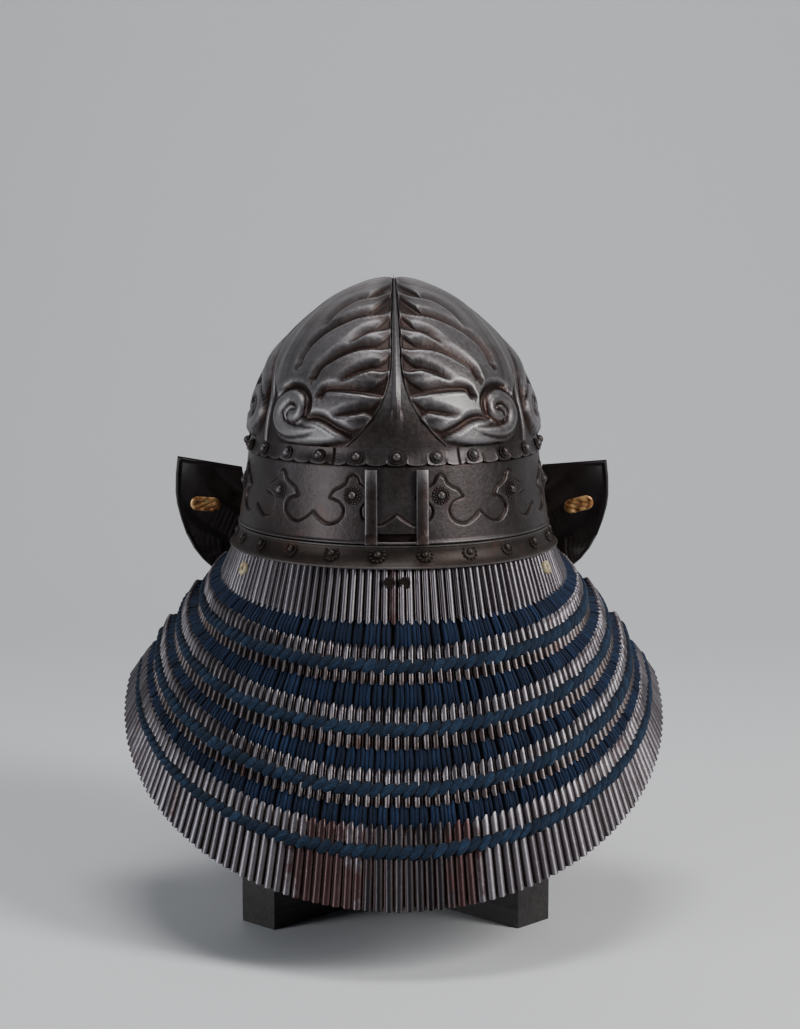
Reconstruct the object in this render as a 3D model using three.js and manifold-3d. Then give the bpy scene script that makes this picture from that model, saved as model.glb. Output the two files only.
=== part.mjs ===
// A kabuto, the samurai helmet, with its neck guard and turned-back wings, on a plain wooden stand.
// Units are millimetres. +Z is up, the visor faces -Y and the neck guard hangs round the +Y side.
// The origin is on the surface that the stand rests on, under the middle of the bowl.
// An azimuth is an angle round the Z axis in degrees, 0 at the rear, +Y, and 90 at the +X side.

import * as THREE from 'three';
import Module from 'manifold-3d';
import { mergeVertices } from 'three/addons/utils/BufferGeometryUtils.js';

// Gaps between pieces that rest against each other, on flat faces and on curved faceted ones
const SEAT_GAP = 0.3;
const CURVE_GAP = 0.45;

// Heights, from the surface up: the rim of the bowl, then each zone of the bowl above it
const RIM_HEIGHT = 229.5;
const FLANGE_HEIGHT = 13.7;
const WAIST_HEIGHT = 49;
const CROWN_BAND_HEIGHT = 8.5;
const CROWN_BAND_LAP = 1.6;
const DOME_LAP = 4.4;
const DOME_HEIGHT = 98.5;

// The dome's half width and half length, and how its meridian rounds over: 1 is an ellipse
const DOME_HALF_WIDTH = 89.5;
const DOME_HALF_LENGTH = 108;
const DOME_FULLNESS = 1.32;
const SHELL_WALL = 1.6;
const SHELL_SKIRT = 12;

// Embossed plates over the shell
const PLATE_WALL = 1.4;
const PLATE_GAP = 0.6;
const PLATE_TOP_ANGLE = 82;
const SPADE_TOP_ANGLE = 87;
const FURROW_DEPTH = 2.6;
const FURROW_WIDTH = 5;
const VOLUTE_HEIGHT = 2.8;
const VOLUTE_RADIUS = 11;

// The spade-shaped plates at the rear and front, with a fin up the middle
const SPADE_WALL = 0.9;
const SPADE_FLARE = 33;
const SPADE_FLARE_HEIGHT = 56;
const FIN_HALF_WIDTH = 2.6;
const FIN_HEIGHT = 1.9;

// Ribs over the seams between the rear and front plates
const SEAM_HALF_WIDTH = 2.2;
const SEAM_RISE = 1.6;
const SEAM_BASE_AZIMUTH = 60;
const SEAM_TOP_AZIMUTH = 88;

// The waist of the bowl: how far it stands out from the dome, at its top and at its bottom
const BAND_WALL = 1.6;
const OVERLAY_WALL = 1.3;
const WAIST_TOP_OUT = 2.5;
const WAIST_SIDE_OUT = 8;
const WAIST_REAR_OUT = 9.5;
const CROWN_BAND_WALL = 1.2;
const SCALLOP_DEPTH = 1.2;

// The flared rim under the waist
const FLANGE_WALL = 2;
const BEAD_OUT = 0.9;
const FLANGE_FLARE = 6.2;

// Rivets with rosette washers round the waist
const WAIST_RIVET_AZIMUTHS = [16, 47, 78, 109, 140, 171];
const WAIST_RIVET_HEIGHT = 28.5;
const ROSETTE_RADIUS = 4.8;
const ROSETTE_HEIGHT = 3.8;

// Two straps at the rear that once held a badge
const STRAP_SPACING = 30.8;
const STRAP_WIDTH = 7.5;
const STRAP_LENGTH = 44;
const STRAP_WALL = 1.7;
const STRAP_HOOK = 2.6;

// The neck guard: how far its lowest edge stands out from the rim and hangs below it
const GUARD_SIDE_OUT = 67.2;
const GUARD_REAR_OUT = 67;
const GUARD_SIDE_DROP = 100.5;
const GUARD_REAR_DROP = 188.5;
const LAME_WALL = 2.2;
const LACING_WALL = 2.4;
const LACING_TUCK = 5;
const LACING_GAP = 0.7;
const BRAID_HEIGHT = 8;
const BRAID_DEPTH = 3.6;
const GUARD_STEP = 7.5;

// Holes and grommets of the top lame
const LACE_HOLE_RADIUS = 2.25;
const LACE_HOLE_SPACING = 9.2;
const GROMMET_AZIMUTH = 62.5;
const GROMMET_RADIUS = 3.8;
const GROMMET_HOLE_RADIUS = 1.2;
const GROMMET_HEIGHT = 1.8;

// The visor over the brow
const VISOR_HALF_ANGLE = 50;
const VISOR_REACH = 36;
const VISOR_END_REACH = 8;
const VISOR_DROP = 15;
const VISOR_WALL = 2;

// The wings, turned back from the front ends of the top lame
const WING_WIDTH = 51;
const WING_HEIGHT = 76;
const WING_BELOW_LAME = 19;
const WING_WALL = 2.4;
const WING_SWEEP = 12;
const WING_LEAN = 15;
const WING_CURL = 5;
const BADGE_LENGTH = 20;
const BADGE_WIDTH = 9.6;
const BADGE_WALL = 1.3;
const BADGE_PLACE = { out: 0.62, up: 0.62 };

// The stand: two beams halved into each other, a post and a rounded head inside the bowl
const BEAM_LENGTH = 242;
const BEAM_WIDTH = 29;
const BEAM_HEIGHT = 36;
const POST_RADIUS = 15;
const HEAD_FIRST_ROW = 3;
const HEAD_DEPTH = 34;

// Facets of round pieces
const LOOP_COLUMNS = 48;
const SHELL_COLUMNS = 24;
const RIVET_SIDES = 8;
const SHELL_ROWS = 5;
const SHELL_TOP_ANGLE = 84;
const REAR_COLUMNS = 8;
const FRONT_COLUMNS = 15;
const PLATE_ROWS = 12;

// The neck guard's edges, as shares of how far the whole guard stands out and hangs down.
// out, rearOut: outward at the sides and at the rear; drop, rearDrop: below the rim there.
const LAMES = [
  { name: 'lame_1', end: 120, edge: { out: 0.062, rearOut: 0.09, drop: 0.184, rearDrop: 0.159 } },
  {
    name: 'lame_2', end: 112.5,
    head: { out: 0.196, rearOut: 0.180, drop: 0.224, rearDrop: 0.236 },
    edge: { out: 0.286, rearOut: 0.306, drop: 0.393, rearDrop: 0.340 },
  },
  {
    name: 'lame_3', end: 105,
    head: { out: 0.412, rearOut: 0.366, drop: 0.403, rearDrop: 0.419 },
    edge: { out: 0.516, rearOut: 0.492, drop: 0.562, rearDrop: 0.533 },
  },
  {
    name: 'lame_4', end: 97.5,
    head: { out: 0.620, rearOut: 0.560, drop: 0.572, rearDrop: 0.600 },
    edge: { out: 0.717, rearOut: 0.679, drop: 0.741, rearDrop: 0.698 },
  },
  {
    name: 'lame_5', end: 97.5,
    head: { out: 0.800, rearOut: 0.746, drop: 0.781, rearDrop: 0.761 },
    edge: { out: 1, rearOut: 1, drop: 1, rearDrop: 1 },
  },
];

// The furrows between the leaves of a plate, in its own chart: across 0 is the fin's side and 1 the
// seam's, up 0 is the plate's foot and 1 the apex. Each runs from its root, by a bend, to its tip.
const FURROWS = [
  { root: [0.55, 0.471], bend: [0.33, 0.66], tip: [0.03, 0.702] },
  { root: [0.62, 0.338], bend: [0.38, 0.54], tip: [0.03, 0.573] },
  { root: [0.51, 0.293], bend: [0.30, 0.40], tip: [0.03, 0.396] },
  { root: [0.51, 0.203], bend: [0.30, 0.27], tip: [0.06, 0.250] },
  { root: [0.50, 0.126], bend: [0.34, 0.17], tip: [0.16, 0.120] },
];
const VOLUTE = { across: 0.77, up: 0.15 };

// The upper edge of the waist's overlay, as shares of the waist's height, by azimuth
const OVERLAY_EDGE = [
  { azimuth: 0, up: 0.30 },
  { azimuth: 5.5, up: 0.30 },
  { azimuth: 11, up: 0.30 },
  { azimuth: 16, up: 0.86 },
  { azimuth: 21, up: 0.42 },
  { azimuth: 26, up: 0.27 },
  { azimuth: 31.5, up: 0.46 },
  { azimuth: 37, up: 0.27 },
  { azimuth: 42, up: 0.42 },
  { azimuth: 47, up: 0.86 },
];
const OVERLAY_REPEAT = 31;

// The outline of a wing by height: its inner and outer edge, as shares of the wing's width
const WING_ROWS = [
  { up: 0, inner: 0.16, outer: 0.38 },
  { up: 0.07, inner: 0.07, outer: 0.55 },
  { up: 0.23, inner: 0, outer: 0.78 },
  { up: 0.48, inner: 0, outer: 0.94 },
  { up: 0.70, inner: 0.06, outer: 1 },
  { up: 1, inner: 0.14, outer: 0.96 },
];

const COLOURS = {
  iron: { color: 0x3b3330, roughness: 0.45, metalness: 0.85 },
  scales: { color: 0x8d8c90, roughness: 0.38, metalness: 0.7 },
  lacquer: { color: 0x0b0908, roughness: 0.15, metalness: 0.1 },
  lacing: { color: 0x16243c, roughness: 0.9, metalness: 0 },
  braid: { color: 0x24384f, roughness: 0.9, metalness: 0 },
  gilt: { color: 0xb08642, roughness: 0.4, metalness: 0.8 },
  bone: { color: 0xc9bd90, roughness: 0.5, metalness: 0 },
  wood: { color: 0x151313, roughness: 0.7, metalness: 0 },
};

// The wearer's left is the +X side
const SIDES = [['left', 1], ['right', -1]];

// The four plates of the shell, by azimuth from the rear
const SHELL_QUARTERS = [
  'bowl_plate_rear_left', 'bowl_plate_front_left', 'bowl_plate_front_right', 'bowl_plate_rear_right',
];

const manifold = await Module();
manifold.setup();

const radians = THREE.MathUtils.degToRad;
const lerp = THREE.MathUtils.lerp;
const smooth = THREE.MathUtils.smoothstep;

// Heights worked out from the zones of the bowl
const FLANGE_TOP = RIM_HEIGHT + FLANGE_HEIGHT;
const WAIST_BOTTOM = FLANGE_TOP + SEAT_GAP;
const WAIST_TOP = WAIST_BOTTOM + WAIST_HEIGHT;
const CROWN_BAND_BOTTOM = WAIST_TOP - CROWN_BAND_LAP;
const CROWN_BAND_TOP = CROWN_BAND_BOTTOM + CROWN_BAND_HEIGHT;
const DOME_BASE = WAIST_TOP + DOME_LAP;

// A closed body from its vertices and triangles, with its faces turned outward
function body(vertices, triangles) {
  const geometry = new THREE.BufferGeometry();
  geometry.setAttribute('position', new THREE.Float32BufferAttribute(vertices.flat(), 3));
  const [a, b, c] = [new THREE.Vector3(), new THREE.Vector3(), new THREE.Vector3()];
  let volume = 0;
  for (const [i, j, k] of triangles) {
    a.fromArray(vertices[i]);
    b.fromArray(vertices[j]);
    c.fromArray(vertices[k]);
    volume += a.dot(b.cross(c));
  }
  const outward = volume > 0 ? triangles : triangles.map(([i, j, k]) => [i, k, j]);
  geometry.setIndex(outward.flat());
  return geometry;
}

// A closed plate between a front and a back sheet, each a function of column and row that gives a point
function plate(front, back, columns, rows, loop = false) {
  const across = loop ? columns : columns + 1;
  const vertices = [];
  for (const sheet of [front, back]) {
    for (let row = 0; row <= rows; row += 1) {
      for (let column = 0; column < across; column += 1) {
        vertices.push(sheet(column / columns, row / rows));
      }
    }
  }
  const backStart = across * (rows + 1);
  const index = (column, row) => row * across + (column % across);
  const triangles = [];
  const quad = (p, q, r, s) => triangles.push([p, q, r], [p, r, s]);
  for (let row = 0; row < rows; row += 1) {
    for (let column = 0; column < columns; column += 1) {
      const corners = [index(column, row), index(column + 1, row), index(column + 1, row + 1), index(column, row + 1)];
      quad(...corners);
      quad(...corners.map((corner) => corner + backStart).reverse());
    }
  }
  for (let column = 0; column < columns; column += 1) {
    const [low, lowNext] = [index(column, 0), index(column + 1, 0)];
    const [high, highNext] = [index(column, rows), index(column + 1, rows)];
    quad(lowNext, low, low + backStart, lowNext + backStart);
    quad(high, highNext, highNext + backStart, high + backStart);
  }
  for (let row = 0; row < rows && !loop; row += 1) {
    const [left, leftNext] = [index(0, row), index(0, row + 1)];
    const [right, rightNext] = [index(columns, row), index(columns, row + 1)];
    quad(left, leftNext, leftNext + backStart, left + backStart);
    quad(rightNext, right, right + backStart, rightNext + backStart);
  }
  return body(vertices, triangles);
}

// A closed bar through a row of convex sections, each a list of as many points
function bar(sections) {
  const sides = sections[0].length;
  const vertices = sections.flat();
  const triangles = [];
  for (let section = 0; section < sections.length - 1; section += 1) {
    for (let side = 0; side < sides; side += 1) {
      const next = (side + 1) % sides;
      const [low, high] = [section * sides, (section + 1) * sides];
      triangles.push([low + side, low + next, high + next], [low + side, high + next, high + side]);
    }
  }
  const last = (sections.length - 1) * sides;
  for (let side = 1; side < sides - 1; side += 1) {
    triangles.push([0, side + 1, side], [last, last + side, last + side + 1]);
  }
  return body(vertices, triangles);
}

// A level or tilted ring round the helmet: half width, half length, and heights at side and rear
function ring(width, length, sideHeight, rearHeight = sideHeight) {
  return { width, length, sideHeight, rearHeight };
}

function grow(base, out, up = 0) {
  return ring(base.width + out, base.length + out, base.sideHeight + up, base.rearHeight + up);
}

function between(low, high, share) {
  return ring(
    lerp(low.width, high.width, share),
    lerp(low.length, high.length, share),
    lerp(low.sideHeight, high.sideHeight, share),
    lerp(low.rearHeight, high.rearHeight, share),
  );
}

function onRing(base, azimuth) {
  const [sine, cosine] = [Math.sin(radians(azimuth)), Math.cos(radians(azimuth))];
  const height = lerp(base.sideHeight, base.rearHeight, cosine);
  return [base.width * sine, base.length * cosine, height];
}

// A ring part of the way along a list of rings, from the first at 0 to the last at 1
function along(rings, share) {
  const place = share * (rings.length - 1);
  const start = Math.min(Math.floor(place), rings.length - 2);
  return between(rings[start], rings[start + 1], place - start);
}

// A band round the whole helmet between an outer and an inner list of rings
function band(outer, inner, columns, edgeLift = () => 0) {
  const sheet = (rings) => (across, up) => {
    const azimuth = 360 * across;
    const point = onRing(along(rings, up), azimuth);
    point[2] += edgeLift(azimuth, up);
    return point;
  };
  return plate(sheet(outer), sheet(inner), columns, outer.length - 1, true);
}

// A wall round the neck between two azimuths, between an outer and an inner list of rings
function wall(outer, inner, end, columns = Math.round((2 * end) / GUARD_STEP)) {
  const sheet = (rings) => (across, up) => onRing(along(rings, up), lerp(-end, end, across));
  return plate(sheet(outer), sheet(inner), columns, outer.length - 1);
}

// The dome's surface, raised by a height: the meridian angle is 0 at its base and 90 at the apex
function domeRadius(meridian) {
  return Math.cos(radians(meridian)) ** DOME_FULLNESS;
}

function onDome(azimuth, meridian, raised) {
  const radius = domeRadius(meridian);
  return [
    (DOME_HALF_WIDTH + raised) * radius * Math.sin(radians(azimuth)),
    (DOME_HALF_LENGTH + raised) * radius * Math.cos(radians(azimuth)),
    DOME_BASE + (DOME_HEIGHT + raised) * Math.sin(radians(meridian)),
  ];
}

// The dome's azimuth at a distance from the middle plane, and its height over a place in plan
function azimuthAt(distance, meridian) {
  const share = distance / (DOME_HALF_WIDTH * domeRadius(meridian));
  return THREE.MathUtils.radToDeg(Math.asin(Math.min(share, 1)));
}

function domeHeight(x, y, raised) {
  const radius = Math.hypot(x / (DOME_HALF_WIDTH + raised), y / (DOME_HALF_LENGTH + raised));
  const rise = Math.sqrt(Math.max(0, 1 - radius ** (2 / DOME_FULLNESS)));
  return DOME_BASE + (DOME_HEIGHT + raised) * rise;
}

const FOOT_ANGLE = THREE.MathUtils.radToDeg(Math.asin((CROWN_BAND_TOP + SEAT_GAP - DOME_BASE) / DOME_HEIGHT));

function spadeHalfWidth(meridian) {
  const height = DOME_HEIGHT * Math.sin(radians(meridian));
  const share = Math.max(0, 1 - height / SPADE_FLARE_HEIGHT);
  return FIN_HALF_WIDTH + SPADE_FLARE * share ** 2.25;
}

function seamAzimuth(meridian) {
  const height = Math.sin(radians(meridian));
  return lerp(SEAM_BASE_AZIMUTH, SEAM_TOP_AZIMUTH, smooth(height, 0.25, 0.75));
}

function seamSpread(meridian, distance) {
  const side = DOME_HALF_WIDTH * domeRadius(meridian);
  return THREE.MathUtils.radToDeg(distance / side);
}

// A place in a plate's chart, as a point of the dome; a front plate's chart runs on from the seam
function chartAzimuth(across, meridian, isFront) {
  const nearFin = azimuthAt(spadeHalfWidth(meridian) + SEAT_GAP, meridian);
  const seamGap = seamSpread(meridian, SEAM_HALF_WIDTH + SEAT_GAP);
  const seam = seamAzimuth(meridian);
  if (isFront) {
    return lerp(180 - nearFin, seam + seamGap, across);
  }
  return lerp(nearFin, seam - seamGap, across);
}

function bezier({ root, bend, tip }, share) {
  const [p, q, r] = [(1 - share) ** 2, 2 * share * (1 - share), share ** 2];
  return root.map((value, axis) => p * value + q * bend[axis] + r * tip[axis]);
}

// The leaves and the volute of a plate, as a height over its plain surface
function relief(across, meridian, isFront) {
  const here = new THREE.Vector3(...onDome(chartAzimuth(across, meridian, isFront), meridian, 0));
  const chartPoint = ([x, up]) => new THREE.Vector3(...onDome(chartAzimuth(x, up * 90, isFront), up * 90, 0));
  let depth = 0;
  for (const furrow of FURROWS) {
    for (let step = 0; step <= 8; step += 1) {
      const distance = here.distanceTo(chartPoint(bezier(furrow, step / 8)));
      depth = Math.max(depth, Math.exp(-((distance / FURROW_WIDTH) ** 2)));
    }
  }
  const fromVolute = here.distanceTo(chartPoint([VOLUTE.across, VOLUTE.up]));
  const boss = Math.max(0, 1 - (fromVolute / VOLUTE_RADIUS) ** 2);
  const margin = smooth(across, 0, 0.08) * smooth(1 - across, 0, 0.06);
  return margin * (FURROW_DEPTH * (1 - depth) + VOLUTE_HEIGHT * boss);
}

const shellMeridian = (row) => (row * SHELL_TOP_ANGLE) / SHELL_ROWS;

// A level section of the dome, as a list of points
function domeSection(meridian, raised) {
  const points = [];
  for (let column = 0; column < SHELL_COLUMNS; column += 1) {
    points.push(onDome((360 * column) / SHELL_COLUMNS, meridian, raised));
  }
  return points;
}

// One of the four plates of the shell, each a quarter of it, from its skirt to the hole round the apex
function shellGeometry(quarter) {
  const sheet = (raised) => (across, up) => {
    const row = Math.round(up * (SHELL_ROWS + 1));
    const meridian = shellMeridian(Math.max(row - 1, 0));
    const gap = seamSpread(meridian, SEAT_GAP / 2);
    const azimuth = 90 * quarter + lerp(gap, 90 - gap, across);
    if (row === 0) {
      const skirt = onDome(azimuth, meridian, raised + SEAT_GAP);
      return [skirt[0], skirt[1], DOME_BASE - SHELL_SKIRT];
    }
    return onDome(azimuth, meridian, raised);
  };
  return plate(sheet(0), sheet(-SHELL_WALL), SHELL_COLUMNS / 4, SHELL_ROWS + 1);
}

// The plug in the hole round the apex
function crownPlugGeometry() {
  const fit = SEAT_GAP / (DOME_HALF_WIDTH * domeRadius(SHELL_TOP_ANGLE));
  return bar([-SHELL_WALL, 0].map((raised) => {
    const section = domeSection(SHELL_TOP_ANGLE, raised);
    return section.map(([x, y, z]) => [(1 - fit) * x, (1 - fit) * y, z]);
  }));
}

function panelGeometry(isFront, side) {
  const sheet = (raised, embossed) => (across, up) => {
    const meridian = lerp(FOOT_ANGLE, PLATE_TOP_ANGLE, up);
    const height = raised + (embossed ? relief(across, meridian, isFront) : 0);
    const [x, y, z] = onDome(chartAzimuth(across, meridian, isFront), meridian, height);
    return [side * x, y, z];
  };
  const columns = isFront ? FRONT_COLUMNS : REAR_COLUMNS;
  return plate(sheet(PLATE_GAP + PLATE_WALL, true), sheet(PLATE_GAP, false), columns, PLATE_ROWS);
}

// Across a spade the columns run from edge to edge, with the fin's foot and crest in the middle
function spadeGeometry(facing) {
  const rows = PLATE_ROWS + 2;
  const columns = 6;
  const sheet = (raised, hasFin) => (across, up) => {
    const row = Math.round(up * rows);
    const plateRow = Math.min(row / PLATE_ROWS, 1);
    const meridian = row > PLATE_ROWS ? SPADE_TOP_ANGLE : lerp(FOOT_ANGLE, PLATE_TOP_ANGLE, plateRow);
    const halfWidth = spadeHalfWidth(meridian);
    const column = Math.round(across * columns) - columns / 2;
    const fromFin = Math.max(0, Math.abs(column) - 1) / 2;
    const finFoot = Math.min(0.8 * halfWidth, FIN_HALF_WIDTH);
    const x = column === 0 ? 0 : Math.sign(column) * lerp(finFoot, halfWidth, fromFin);
    const height = raised + (hasFin && column === 0 ? FIN_HEIGHT : 0);
    const place = onDome(azimuthAt(Math.abs(x), meridian), meridian, height);
    if (row === rows) {
      return [x, facing * (SEAT_GAP / 2), domeHeight(x, SEAT_GAP / 2, height)];
    }
    return [x, facing * place[1], place[2]];
  };
  return plate(sheet(CURVE_GAP + SPADE_WALL, true), sheet(CURVE_GAP, false), columns, rows);
}

function seamGeometry(side) {
  const sheet = (raised, crest) => (across, up) => {
    const meridian = lerp(FOOT_ANGLE, PLATE_TOP_ANGLE, up);
    const spread = seamSpread(meridian, SEAM_HALF_WIDTH) * (2 * across - 1);
    const ridge = across === 0.5 ? crest : 0;
    const [x, y, z] = onDome(seamAzimuth(meridian) + spread, meridian, raised + ridge);
    return [side * x, y, z];
  };
  return plate(sheet(CURVE_GAP + PLATE_WALL, SEAM_RISE), sheet(CURVE_GAP, 0), 2, PLATE_ROWS);
}

// Rings of the bowl below the dome
const domeRing = ring(DOME_HALF_WIDTH, DOME_HALF_LENGTH, DOME_BASE);
const waistTop = ring(
  DOME_HALF_WIDTH + WAIST_TOP_OUT,
  DOME_HALF_LENGTH + WAIST_TOP_OUT,
  WAIST_TOP,
);
const waistBottom = ring(
  DOME_HALF_WIDTH + WAIST_SIDE_OUT,
  DOME_HALF_LENGTH + WAIST_REAR_OUT,
  WAIST_BOTTOM,
);
const onWaist = (share) => between(waistBottom, waistTop, share);
const overlayOut = SEAT_GAP + OVERLAY_WALL;
const flangeTop = grow(waistBottom, overlayOut + BEAD_OUT, -SEAT_GAP);
const flangeNeck = grow(flangeTop, -BEAD_OUT, -0.2 * FLANGE_HEIGHT);
const rim = grow(flangeNeck, FLANGE_FLARE, -0.8 * FLANGE_HEIGHT);

function crownBandGeometry() {
  const low = grow(onWaist(1 - CROWN_BAND_LAP / WAIST_HEIGHT), 2 * CURVE_GAP);
  const high = ring(domeRing.width + SEAT_GAP, domeRing.length + SEAT_GAP, CROWN_BAND_TOP);
  const scallop = (azimuth, up) => {
    const isPoint = Math.round((azimuth * LOOP_COLUMNS) / 360) % 2 === 1;
    return up === 0 && isPoint ? SCALLOP_DEPTH : 0;
  };
  const outer = [low, high].map((base) => grow(base, CROWN_BAND_WALL));
  return band(outer, [low, high], LOOP_COLUMNS, scallop);
}

function waistGeometry() {
  const outer = [waistBottom, waistTop];
  return band(outer, outer.map((base) => grow(base, -BAND_WALL)), LOOP_COLUMNS);
}

// The overlay's edge repeats from rivet to rivet, out from the rear on each side
function overlayColumns() {
  const last = OVERLAY_EDGE.length - 1;
  const firstPeak = OVERLAY_EDGE.findIndex(({ azimuth }) => azimuth === WAIST_RIVET_AZIMUTHS[0]);
  const half = OVERLAY_EDGE.slice(0, last);
  for (let turn = OVERLAY_REPEAT; half[half.length - 1].azimuth < 180 - OVERLAY_REPEAT; turn += OVERLAY_REPEAT) {
    for (const { azimuth, up } of OVERLAY_EDGE.slice(firstPeak, last)) {
      half.push({ azimuth: azimuth + turn, up });
    }
  }
  half.push({ azimuth: WAIST_RIVET_AZIMUTHS[WAIST_RIVET_AZIMUTHS.length - 1], up: OVERLAY_EDGE[last].up });
  half.push({ azimuth: 180, up: OVERLAY_EDGE[0].up });
  const mirrored = half.slice(1, -1).reverse().map(({ azimuth, up }) => ({ azimuth: 360 - azimuth, up }));
  return [...half, ...mirrored];
}

function overlayGeometry() {
  const columns = overlayColumns();
  const sheet = (out) => (across, up) => {
    const column = columns[Math.round(across * columns.length)];
    return onRing(grow(onWaist(up * column.up), out), column.azimuth);
  };
  return plate(sheet(overlayOut), sheet(SEAT_GAP), columns.length, 1, true);
}

function flangeGeometry() {
  const neckInner = grow(flangeNeck, -FLANGE_WALL);
  const topInner = grow(waistBottom, -BAND_WALL, -SEAT_GAP);
  const outer = [rim, flangeNeck, flangeTop];
  return band(outer, [grow(rim, -FLANGE_WALL), neckInner, topInner], LOOP_COLUMNS);
}

function rivetGeometry() {
  const profile = [
    [0, 0],
    [ROSETTE_RADIUS, 0],
    [ROSETTE_RADIUS, 0.22 * ROSETTE_HEIGHT],
    [0.5 * ROSETTE_RADIUS, 0.5 * ROSETTE_HEIGHT],
    [0, ROSETTE_HEIGHT],
  ];
  return new THREE.LatheGeometry(profile.map(([radius, height]) => new THREE.Vector2(radius, height)), RIVET_SIDES);
}

// A curved strap down the rear of the waist, hooked outward at its foot
function strapGeometry(middle) {
  const rows = [
    { drop: 1, out: STRAP_HOOK },
    { drop: 0.93, out: 0 },
    { drop: 0.5, out: 0 },
    { drop: 0, out: 0 },
  ];
  const top = WAIST_BOTTOM + STRAP_LENGTH;
  const sheet = (out) => (across, up) => {
    const row = rows[Math.round(up * (rows.length - 1))];
    const height = top - row.drop * (STRAP_LENGTH - SEAT_GAP);
    const base = grow(onWaist((height - WAIST_BOTTOM) / WAIST_HEIGHT), overlayOut + SEAT_GAP + out + row.out);
    const x = middle + (across - 0.5) * STRAP_WIDTH;
    return [x, base.length * Math.sqrt(1 - (x / base.width) ** 2), height];
  };
  return plate(sheet(STRAP_WALL), sheet(0), 2, rows.length - 1);
}

// Rings of the neck guard: the head and the edge of each lame, on its outer face
function guardRing({ out, rearOut, drop, rearDrop }) {
  return ring(
    rim.width + out * GUARD_SIDE_OUT,
    rim.length + rearOut * GUARD_REAR_OUT,
    RIM_HEIGHT - drop * GUARD_SIDE_DROP,
    RIM_HEIGHT - rearDrop * GUARD_REAR_DROP,
  );
}

const tuckedHead = grow(between(rim, flangeNeck, 0.5), -FLANGE_WALL - CURVE_GAP - 0.3);
const lameRings = LAMES.map(({ head, edge }) => ({
  head: head ? guardRing(head) : tuckedHead,
  edge: guardRing(edge),
}));

function lameGeometry(number) {
  const { head, edge } = lameRings[number];
  const outer = [edge, head];
  return wall(outer, outer.map((base) => grow(base, -LAME_WALL)), LAMES[number].end);
}

// The top lame has two lace holes at the rear
function topLameGeometry() {
  const { head, edge } = lameRings[0];
  const middle = onRing(between(edge, head, 0.62), 0);
  let lame = solid(lameGeometry(0));
  for (const side of [-1, 1]) {
    const drill = new THREE.CylinderGeometry(LACE_HOLE_RADIUS, LACE_HOLE_RADIUS, 5 * LAME_WALL, 12);
    drill.translate((side * LACE_HOLE_SPACING) / 2, middle[1], middle[2]);
    lame = lame.subtract(solid(drill));
  }
  return fromSolid(lame);
}

// The rows of laces between two lames: from behind the upper edge to behind the lower head
function lacingGeometry(number) {
  const upper = lameRings[number];
  const lower = lameRings[number + 1];
  const upperShare = LACING_TUCK / (upper.head.sideHeight - upper.edge.sideHeight);
  const lowerShare = 1 - LACING_TUCK / (lower.head.sideHeight - lower.edge.sideHeight);
  const behind = -LAME_WALL - LACING_GAP;
  const outer = [
    grow(between(lower.edge, lower.head, lowerShare), behind),
    grow(upper.edge, behind, -0.5),
    grow(between(upper.edge, upper.head, upperShare), behind),
  ];
  return wall(outer, outer.map((base) => grow(base, -LACING_WALL)), LAMES[number + 1].end);
}

// A thick flat braid along the face of a lame, with a five-sided section
function braidGeometry(number) {
  const { head, edge } = lameRings[number];
  const end = LAMES[number].end;
  const slope = BRAID_HEIGHT / (head.rearHeight - edge.rearHeight);
  const top = number === LAMES.length - 1 ? 0.83 : 0.72;
  const section = [
    { share: top, out: CURVE_GAP },
    { share: top - slope, out: CURVE_GAP },
    { share: top - 0.9 * slope, out: 0.7 * BRAID_DEPTH },
    { share: top - 0.5 * slope, out: BRAID_DEPTH },
    { share: top - 0.1 * slope, out: 0.7 * BRAID_DEPTH },
  ];
  const columns = Math.round((2 * end) / GUARD_STEP);
  const sections = [];
  for (let column = 0; column <= columns; column += 1) {
    const azimuth = lerp(-end, end, column / columns);
    sections.push(section.map(({ share, out }) => onRing(grow(between(edge, head, share), out), azimuth)));
  }
  return bar(sections);
}

function grommetGeometry() {
  const profile = [
    [GROMMET_HOLE_RADIUS, 0],
    [GROMMET_RADIUS, 0],
    [0.8 * GROMMET_RADIUS, GROMMET_HEIGHT],
    [GROMMET_HOLE_RADIUS, GROMMET_HEIGHT],
    [GROMMET_HOLE_RADIUS, 0],
  ];
  return new THREE.LatheGeometry(profile.map(([radius, height]) => new THREE.Vector2(radius, height)), 10);
}

// The visor runs round the brow under the rim and reaches furthest in the middle
function visorGeometry() {
  const sheet = (down) => (across, up) => {
    const azimuth = 180 + lerp(-VISOR_HALF_ANGLE, VISOR_HALF_ANGLE, across);
    const reach = lerp(VISOR_END_REACH, VISOR_REACH, Math.sin(Math.PI * across) ** 0.7);
    const out = up * reach - FLANGE_WALL;
    const fall = SEAT_GAP + down + VISOR_DROP * (up * reach / VISOR_REACH) ** 1.4;
    return onRing(grow(rim, out, -fall), azimuth);
  };
  return plate(sheet(0), sheet(VISOR_WALL), 12, 2);
}

// A wing stands on the front end of the top lame, leaning with it and turned out to the side
const wingRoot = onRing(lameRings[0].edge, LAMES[0].end);
function wingPlace(side, inwardShare, upShare, raised) {
  const curl = WING_CURL * (1 - smooth(upShare, 0, 0.3));
  const lean = WING_LEAN * (upShare - 0.25);
  return [
    side * (wingRoot[0] - 1.5 + inwardShare * WING_WIDTH - 0.2 * raised),
    wingRoot[1] - 0.5 * WING_WALL - 2 * SEAT_GAP - 1 + inwardShare * WING_SWEEP + lean + curl + raised,
    wingRoot[2] - WING_BELOW_LAME + upShare * WING_HEIGHT,
  ];
}

function wingGeometry(side) {
  const sheet = (raised) => (across, up) => {
    const row = WING_ROWS[Math.round(up * (WING_ROWS.length - 1))];
    return wingPlace(side, lerp(row.inner, row.outer, across), row.up, raised);
  };
  return plate(sheet(WING_WALL / 2), sheet(-WING_WALL / 2), 3, WING_ROWS.length - 1);
}

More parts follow.
